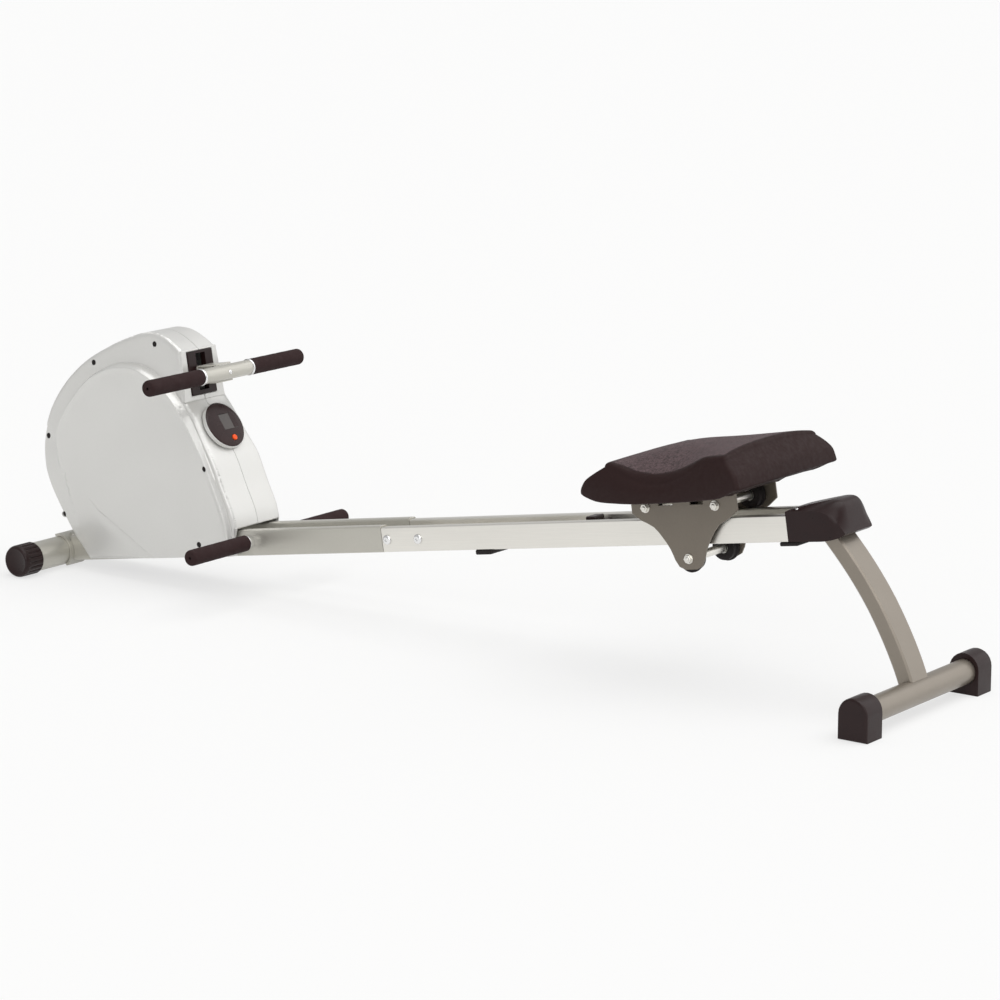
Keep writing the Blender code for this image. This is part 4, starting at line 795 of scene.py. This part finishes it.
def seat_rings():
    """Rings up the cushion: flat base, foot, pulled-in wall, rolled rim and crowned top."""
    u, v = rounded_square(30, 9, SEAT_CORNER).T

    def top(inset, drop, scale=1.0):
        s = sum(TOP_S) / 2 + u * ((TOP_S[1] - TOP_S[0]) / 2 - inset) * scale
        y = v * (along(TOP_HALF, s) - inset) * scale
        return np.stack([s, y, seat_top(s, y) - drop], axis=1)

    def foot(inset, lift):
        s = sum(FOOT_S) / 2 + u * ((FOOT_S[1] - FOOT_S[0]) / 2 - inset)
        y = v * (along(FOOT_HALF, s) - inset)
        return np.stack([s, y, along(FOOT_N, s) + lift], axis=1)

    edge = foot(0.0, 0.0)[:, 2]
    rings = []
    for inset, drop in ((0.078, 1.0), (0.054, 0.007), (0.03, 0.0035), (0.012, 0.0008)):
        under = foot(inset, 0.0)
        under[:, 2] = np.maximum(edge - drop, 0.0936)
        rings.append(under)
    for k in range(5):
        a = math.pi / 2 * k / 4
        rings.append(foot(0.005 * (1 - math.sin(a)), 0.004 * (1 - math.cos(a))))
    low, high = foot(0.0, 0.004), top(0.0, SEAT_ROLL)
    for k in range(1, 12):
        wall = low + (high - low) * (k / 12)
        ends = np.where(u < 0, along(SEAT_BULGE["front"], k / 12), along(SEAT_BULGE["rear"], k / 12))
        wall[:, 0] += u * np.abs(u) * ends
        wall[:, 1] += v * np.abs(v) * along(SEAT_BULGE["side"], k / 12)
        rings.append(wall)
    for k in range(8):
        a = math.pi / 2 * k / 7
        rings.append(top(SEAT_ROLL * (1 - math.cos(a)), SEAT_ROLL * (1 - math.sin(a))))
    shares = (0.018, 0.036, 0.055, 0.08, 0.11, 0.15, 0.2, 0.26, 0.33, 0.41, 0.5, 0.6, 0.71, 0.83, 0.93)
    return rings + [top(SEAT_ROLL, 0.0, 1 - share) for share in shares]


def seat():
    work = bmesh.new()
    rows = [[work.verts.new(point) for point in ring] for ring in seat_rings()]
    middle = sum(TOP_S) / 2
    rows.append([work.verts.new((middle, 0.0, float(seat_top(middle, 0.0))))])
    skin(work, rows)
    half_s, half_y, under, over = BOARD_POCKET
    pocket = block_mesh((CARRIAGE_S - half_s, -half_y, under), (CARRIAGE_S + half_s, half_y, over))
    final = carved(to_mesh(work, "seat_pad"), [pocket])

    # How far each point of the top lies inside the rim, which places the skin's pebbled grain and the painted
    # shade of the rim and the sides
    co = np.array([v.co for v in final.vertices])
    up = np.array([v.normal.z for v in final.vertices])
    radius = SEAT_CORNER * 0.15
    q = np.stack([np.abs(co[:, 0] - middle) - ((TOP_S[1] - TOP_S[0]) / 2 - radius),
                  np.abs(co[:, 1]) - (along(TOP_HALF, co[:, 0]) - radius)], axis=1)
    gap = radius - np.hypot(*np.clip(q, 0.0, None).T) - np.clip(q.max(1), None, 0.0)
    gap = np.where((up > 0.25) & (co[:, 2] > 0.12), gap, -0.05)
    band = final.attributes.new("rim_gap", "FLOAT", "POINT")
    band.data.foreach_set("value", gap.astype(np.float32))
    final.transform(RAIL)
    made = piece("seat_pad", final, "seat_skin", "carriage", 60.0, "seat_cushion")


# Hood at the rails' end
def hood():
    """The cover with a crisp fold between each cheek and the top, and two screws."""
    work = bmesh.new()
    rows = []
    for crown_s, crown_n, fold_s, fold_n, fold_y, foot_n in smooth_line(HOOD_RIBS, 6):
        half = [(fold_s, fold_y, foot_n + (fold_n - foot_n) * k / 4) for k in range(5)]
        for k in range(1, 13):
            rise = math.sin(k / 12 * math.pi / 2)
            y = fold_y + (HOOD_FLAT - fold_y) * k / 12
            half.append((fold_s + (crown_s - fold_s) * rise, y, fold_n + (crown_n - fold_n) * rise))
        half += [(crown_s, y, crown_n) for y in (0.016, 0.008, 0.0)]
        near = [(s, -y, n) for s, y, n in half[:-1]]
        rows.append([work.verts.new(point) for point in near + half[::-1]])
    skin(work, rows)
    bmesh.ops.triangulate(work, faces=work.faces)
    way = bmesh.new()
    skin(way, [[way.verts.new((s, y, n)) for s, n in LEG_WAY] for y in (-0.0306, 0.0306)])
    tools = [block_mesh((1.85, -0.058, -0.02), (1.932, 0.058, 0.0504)), to_mesh(way, "leg_way")]
    final = carved(to_mesh(work, "hood"), tools)
    final.transform(RAIL)
    cover = piece("hood_cover", final, "dark_brown_plastic", "frame", 32.0, "rear_hood")
    bevelled(cover, 0.001, 3, 40)

    s, y, n = HOOD_SCREWS
    head = [(0, -2.0), (4.4, -2.0), (4.4, 0.4), (3.6, 1.4), (1.8, 1.8), (1.2, 1.8), (0, 0.6)]
    forms = [(head, toward((s, side * y, n), (-0.1, side * 0.18, 1.0)), 24) for side in (-1, 1)]
    spun("hood_screws", "chrome", "frame", RAIL, forms, None, 35.0)


# Turned pieces
def at_rail(s, n):
    return RAIL @ Matrix.Translation((s, 0.0, n))


def flip(profile, side):
    """The profile on one side of the middle plane."""
    return [(r, h * side) for r, h in profile]


def hexagon(work, low, high, across):
    """A chamfered hexagonal head or nut on the Y axis, in millimetres."""
    radius = across / math.sqrt(3)
    chamfer = math.copysign(0.6, high - low)
    levels = ((radius, low), (radius, high - chamfer), (radius - 0.84, high))
    skin(work, [ring(work, r, height, 6, LIE_Y) for r, height in levels])


def foam_sleeve(radius, low, high):
    """A foam sleeve: rolled start, straight barrel, domed end with a small vent hole."""
    line = [(radius - 2.4, low + 0.2), (radius - 1.0, low), (radius, low + 1.0)]
    for k in range(1, 14):
        line.append((radius + 0.12 * math.sin(k * 2.1), low + 1.0 + (high - 8.0 - low) * k / 14))
    for k in range(9):
        a = math.pi / 2 * k / 8
        line.append((radius - 5.5 * (1 - math.cos(a)), high - 6.5 + 6.5 * math.sin(a)))
    return line + [(4.0, high), (3.0, high - 0.8), (3.0, high - 6.0), (0, high - 6.2)]


def grips():
    """Foam sleeves on the handle's ends and on the foot pegs."""
    for side, hand in SIDES:
        for name, body, place, start, sleeve, replaced in (
                ("handle_sleeve_", "handle", HANDLE, (13.9, 79.0), (17.0, 78.8, 240.0), "handle_grip_"),
                ("peg_sleeve_", "frame", PEG, (12.8, 75.0), (16.5, 74.8, 248.0), "footrest_grip_")):
            profile = flip([start] + foam_sleeve(*sleeve), side)
            spun(name + hand, "foam_grip", body, at_rail(*place), [(profile, LIE_Y, 48)], replaced + hand)


def handle_core():
    """The plated core with a collar beside each grip, and the tube's button-head screw."""
    collar = [(15.0, 78.5), (16.5, 78.1), (17.2, 77.6), (17.8, 76.4), (17.9, 75.0), (17.8, 73.6),
              (17.2, 72.7), (16.0, 72.3)]
    half = [(0, 228.5), (13.6, 228.5), (13.6, 78.6)] + collar + [(13.6, 72.0)]
    spun("handle_core", "chrome", "handle", at_rail(*HANDLE),
         [(half + flip(half, -1)[::-1], LIE_Y, 48)], "handle_bar")
    head = [(0, 0), (4.6, 0), (4.6, 1.0), (4.0, 2.0), (2.6, 2.7), (1.7, 2.8), (1.5, 1.2), (0, 1.0)]
    place = toward((HANDLE[0] + 0.015, 0.0, HANDLE[1]), (1.0, 0.0, 0.0))
    spun("handle_screw", "chrome", "handle", RAIL, [(head, place, 24)], None, 35.0)


def rollers():
    """Flanged treads on shielded bearings."""
    tread = [(15.0, 46.6), (21.5, 46.6), (23.6, 47.0), (24.5, 48.0), (24.5, 58.4), (25.0, 58.8),
             (26.8, 59.2), (27.5, 60.0), (27.5, 63.4), (26.8, 64.2), (25.5, 64.6), (19.0, 64.6),
             (18.5, 63.8), (11.2, 63.8), (11.2, 64.0), (11.2, 47.4), (14.5, 47.4)]
    shield = [(4.6, 46.2), (6.2, 46.2), (6.4, 47.2), (10.0, 47.2), (11.0, 46.8), (11.0, 64.0),
              (10.0, 64.2), (6.6, 64.0), (6.2, 65.4), (4.6, 65.4)]
    for which, place in AXLES.items():
        for side, hand in SIDES:
            name = "roller_%s_%s" % (which, hand)
            for part, look, profile, replaced in (("_tread", "black_rubber", tread, name),
                                                  ("_bearing", "plain_steel", shield, None)):
                forms = [(flip(profile, side), LIE_Y, 48, True)]
                spun(name + part, look, "rollers_" + which, at_rail(*place), forms, replaced)


def axles():
    """Stepped axles with a washer and a hexagonal head at each end."""
    half = [(0, 78.8), (2.6, 78.8), (3.6, 78.2), (4.0, 77.4), (4.0, 45.2), (7.8, 45.2), (8.5, 44.6),
            (8.5, 0)]
    washer = [(4.2, 70.2), (9.8, 70.2), (9.8, 71.1), (9.4, 71.6), (4.2, 71.6)]
    for which, place in AXLES.items():
        work = bmesh.new()
        turned(work, half + flip(half[:-1], -1)[::-1], LIE_Y, 32)
        for side in (-1, 1):
            turned(work, flip(washer, side), LIE_Y, 32, True)
            hexagon(work, side * 71.6, side * 76.8, 14.0)
        piece("axle_%s_set" % which, to_mesh(work, "axle", at_rail(*place)), "brushed_aluminium",
              "carriage", 30.0, "axle_" + which)


def splice_bolts():
    """Button heads with a socket on the outer faces of both rails."""
    face = 57.9
    head = [(0, face), (9.8, face), (10.0, face + 0.8)]
    for k in range(1, 7):
        a = math.pi / 2 * k / 6
        head.append((4.0 + 6.0 * math.cos(a), face + 0.8 + 3.6 * math.sin(a)))
    head += [(3.4, face + 4.2), (3.1, face + 1.8), (0, face + 1.4)]
    shank = [(0, -57.6), (3.8, -57.6), (3.8, 57.6), (0, 57.6)]
    forms = [(shank, LIE_Y, 20), (flip(head, -1), LIE_Y, 36), (head, LIE_Y, 36)]
    for s, name in SPLICE_BOLTS:
        bolt = "splice_bolt_" + name
        spun(bolt + "_set", "chrome", "frame", at_rail(s, 0.025), forms, bolt)


def transport_rollers():
    """End rollers with rounded ribs, a rolled shoulder and a slightly sunk face."""
    ribs, steps, groove = 20, 160, 2.6
    turns = [2 * math.pi * k / steps for k in range(steps)]
    levels = [(6.4, 189.5, 0), (6.4, 150.3, 0), (34.0, 150.3, 0), (34.5, 151.2, 0.6), (34.5, 153.0, 1),
              (34.5, 185.0, 1), (34.5, 188.0, 0.8), (34.3, 191.5, 0.15), (33.6, 195.0, 0),
              (31.8, 198.5, 0), (30.0, 199.8, 0), (28.0, 200.0, 0), (26.2, 199.6, 0), (25.0, 199.0, 0)]
    for side, hand in SIDES:
        work = bmesh.new()
        rows = []
        for radius, height, cut in levels:
            radii = [(radius - groove * cut * (0.5 + 0.5 * math.cos(ribs * a)) ** 3) * MM for a in turns]
            rows.append([work.verts.new((r * math.cos(a), side * height * MM, r * math.sin(a)))
                         for r, a in zip(radii, turns)])
        skin(work, rows)
        name = "transport_roller_" + hand
        piece(name + "_ribbed", to_mesh(work, name, FRONT_AXIS), "dark_brown_plastic",
              name + "_body", 40.0, name)


# Computer
def computer():
    """A ring round a domed face with a sunk window and a push button in a well."""
    rim = [(0, 1.2), (51.5, 1.2), (52.5, 2.0), (52.5, 7.8), (52.2, 9.2), (51.9, 10.2), (51.5, 10.5),
           (51.1, 10.3), (50.8, 9.6), (50.7, 8.8), (50.7, 5.2), (0, 5.0)]
    spun("computer_ring", "silver_housing", "frame", COMPUTER, [(rim, None, 96)], "computer_case")

    work = bmesh.new()
    turned(work, [(0, 5.6), (50.4, 5.6), (50.4, 9.6), (50.0, 10.2), (49.0, 10.7), (45.5, 11.3),
                  (33.0, 12.2), (22.0, 12.9), (11.0, 13.3), (0, 13.4)], None, 96)
    place = Matrix.Translation((0.0322, 0.0073, 0.0))
    well = bmesh.new()
    turned(well, [(0, 5.4), (6.9, 5.4), (6.9, 20), (0, 20)], place, 48)
    window = block_mesh((-0.0235, -0.01, 0.0108), (0.013, 0.0345, 0.02))
    final = carved(to_mesh(work, "face"), [window, to_mesh(well, "well")])
    final.transform(COMPUTER)
    piece("computer_dial", final, "computer_face_plastic", "frame", 30.0, "computer_face")

    cap = [(0, 7.2), (6.2, 7.2), (6.2, 13.4), (6.0, 14.2), (5.4, 14.8), (4.4, 15.1), (2.0, 15.15),
           (0, 15.2)]
    spun("button_cap", "orange_plastic", "button", COMPUTER, [(cap, place, 40)], "computer_button")

    # The darker strip beside the window's display
    strip = block_mesh((-0.0222, 0.021, 0.0126), (0.0116, 0.0332, 0.013))
    strip.transform(COMPUTER)
    piece("window_strip", strip, "computer_face_plastic", "frame")


# Strap
def strap():
    """The webbing from the drum to the handle's pin, its loop sewn back on itself."""
    pin = (HANDLE[0] - 0.0472, HANDLE[1])
    drum_top = DRUM[1] + DRUM_R + STRAP_THICK / 2
    start, near = DRUM[0], pin[0] - 0.012
    count = 110
    route = [(start + (near - start) * k / count, drum_top + (HANDLE[1] - drum_top) * k / count)
             for k in range(count + 1)]
    loop = [(pin[0] - 0.0052 * math.cos(a), pin[1] + 0.0052 * math.sin(a))
            for a in np.linspace(0.12, 2 * math.pi - 0.12, 20)]
    tail = [(near + 0.002 - 0.024 * k / 8, HANDLE[1] - STRAP_THICK * 1.02) for k in range(9)]
    line = route + loop + tail
    across = [-1 + j / 4 for j in range(9)]
    section = [(u, 0.5) for u in across] + [(u, -0.5) for u in reversed(across)]
    work = bmesh.new()
    rows = []
    for k, (s, n) in enumerate(line):
        a, b = line[max(k - 1, 0)], line[min(k + 1, len(line) - 1)]
        run = Vector((b[0] - a[0], 0.0, b[1] - a[1])).normalized()
        out = Vector((-run.z, 0.0, run.x))
        row = []
        for u, level in section:
            # Thin at the selvedge and a little hollow in the middle
            thick = STRAP_THICK * (0.5 if abs(u) > 0.97 else 0.92 if abs(u) < 0.5 else 1.0)
            row.append(work.verts.new(Vector((s, u * STRAP_HALF, n)) + out * (thick * level)))
        rows.append(row)
    skin(work, rows)
    made = placed("pull_webbing", to_mesh(work, "pull_webbing", RAIL))
    finished(made, "webbing", 40.0)
    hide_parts("pull_strap")
    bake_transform(made)


# Solids that stay
def smooth_by_angle(limit):
    """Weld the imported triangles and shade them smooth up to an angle."""
    group = bpy.data.node_groups.new("weld_and_smooth", "GeometryNodeTree")
    for way in ("INPUT", "OUTPUT"):
        group.interface.new_socket("Geometry", in_out=way, socket_type="NodeSocketGeometry")
    source = node(group, "NodeGroupInput")
    weld = node(group, "GeometryNodeMergeByDistance", {0: source.outputs[0], "Distance": 0.00002})
    plain = node(group, "GeometryNodeRemoveAttribute", {0: weld.outputs[0], "Name": "custom_normal"})
    faces = node(group, "GeometryNodeSetShadeSmooth", {0: plain.outputs[0]})
    angle = node(group, "GeometryNodeInputMeshEdgeAngle").outputs["Unsigned Angle"]
    wide = node(group, "FunctionNodeCompare", {0: angle, 1: limit}, operation="GREATER_THAN")
    edges = node(group, "GeometryNodeSetShadeSmooth",
                 {0: faces.outputs[0], "Selection": wide.outputs[0], "Shade Smooth": False},
                 domain="EDGE")
    node(group, "NodeGroupOutput", {0: edges.outputs[0]})
    return group


EDGE_WIDTHS = {
    "rear_leg": 0.0014, "strap_bezel": 0.0008, "handle_bracket": 0.0006, "seat_board": 0.0006,
    "carriage_plate": 0.0005, "rear_foot": 0.0012, "front_rail": 0.0006, "rear_rail": 0.0004,
    "front_saddle": 0.0005}


def dress_solids():
    """Finishes for all solids, and smooth shading with fine bevels for those that show."""
    slots = {entry["node"]: entry["material_slot"] for entry in frame["record"]["subparts"]}
    group = smooth_by_angle(math.radians(31))
    for name, part in nodes.items():
        part.data.materials.clear()
        part.data.materials.append(LOOKS[slots[name]])
        if part.hide_render:
            continue
        part.modifiers.new("Weld and smooth", "NODES").node_group = group
        stem = name.removesuffix("_left").removesuffix("_right")
        bevelled(part, EDGE_WIDTHS.get(stem, 0.0003), 3, 38, False)
        part.modifiers.new("Even faces", "WEIGHTED_NORMAL").keep_sharp = True


housing()
seat()
hood()
grips()
handle_core()
rollers()
axles()
splice_bolts()
transport_rollers()
computer()
strap()
dress_solids()


# Camera and studio
def camera():
    """The camera of the photograph, fitted to the rails and both stabilizers."""
    azimuth, elevation = math.radians(36.553), math.radians(12.188)
    right = Vector((math.cos(azimuth), math.sin(azimuth), 0.0))
    back = Vector((math.sin(azimuth) * math.cos(elevation), -math.cos(azimuth) * math.cos(elevation),
                   math.sin(elevation)))
    up = back.cross(right)
    data = bpy.data.cameras.new("photo_camera")
    film, focal_share = 36.0, 3.60549
    data.sensor_width = film
    data.lens = film * focal_share
    data.clip_end = 200.0
    made = placed("photo_camera", data)
    turn = Matrix((right, up, back)).transposed().to_4x4()
    made.matrix_world = Matrix.Translation((5.26899 - LENGTH_SHIFT, -5.57924, 1.78018)) @ turn
    bpy.context.scene.camera = made


def seen_share(tree, shares):
    """How much of the plain white each kind of ray sees, the largest of them where several apply."""
    seen = node(tree, "ShaderNodeLightPath")
    most = 0.0
    for output, amount in shares.items():
        share = node(tree, "ShaderNodeMath", {0: seen.outputs[output], 1: amount}, operation="MULTIPLY")
        most = node(tree, "ShaderNodeMath", {0: most, 1: share.outputs[0]}, operation="MAXIMUM").outputs[0]
    return most


def studio():
    """A pale floor, a plain white surround that lights only a little, and three wide suns."""
    white = (1.0, 1.0, 1.0, 1.0)
    floor_mesh = bpy.data.meshes.new("studio_floor")
    floor_mesh.from_pydata([(-60, -60, 0), (60, -60, 0), (60, 60, 0), (-60, 60, 0)], [], [(0, 1, 2, 3)])
    ground = placed("studio_floor", floor_mesh)
    pale = Finish("pale_floor", (0.86, 0.86, 0.85), 0.7)
    share = seen_share(pale.tree, {"Is Camera Ray": 0.66, "Is Glossy Ray": 0.52, "Is Transmission Ray": 0.66})
    glow = pale.node("ShaderNodeEmission", {"Color": white}).outputs[0]
    blend = pale.node("ShaderNodeMixShader", {0: share, 1: pale.shader.outputs[0], 2: glow})
    pale.tree.links.new(blend.outputs[0], pale.tree.nodes["Material Output"].inputs["Surface"])
    floor_mesh.materials.append(pale.material)

    world = bpy.data.worlds.new("studio")
    bpy.context.scene.world = world
    world.use_nodes = True
    sky = world.node_tree
    ambient = sky.nodes["Background"]
    ambient.inputs["Color"].default_value = white
    ambient.inputs["Strength"].default_value = 0.36
    plain = node(sky, "ShaderNodeBackground", {"Color": white})
    share = seen_share(sky, {"Is Camera Ray": 1.0, "Is Glossy Ray": 0.3, "Is Transmission Ray": 1.0})
    mixer = node(sky, "ShaderNodeMixShader", {0: share, 1: ambient.outputs[0], 2: plain.outputs[0]})
    sky.links.new(mixer.outputs[0], sky.nodes["World Output"].inputs["Surface"])

    for name, direction, strength, width in (("top_light", (0.25, 0.1, 1.0), 1.5, 60.0),
                                             ("key_light", (0.45, -0.8, 0.5), 0.9, 45.0),
                                             ("back_light", (0.55, 0.6, 0.45), 0.8, 70.0)):
        data = bpy.data.lights.new(name, "SUN")
        data.energy = strength
        data.angle = math.radians(width)
        placed(name, data).matrix_world = toward((0.0, 0.0, 4.0), direction)


camera()
studio()

bpy.context.scene.view_settings.view_transform = "Standard"
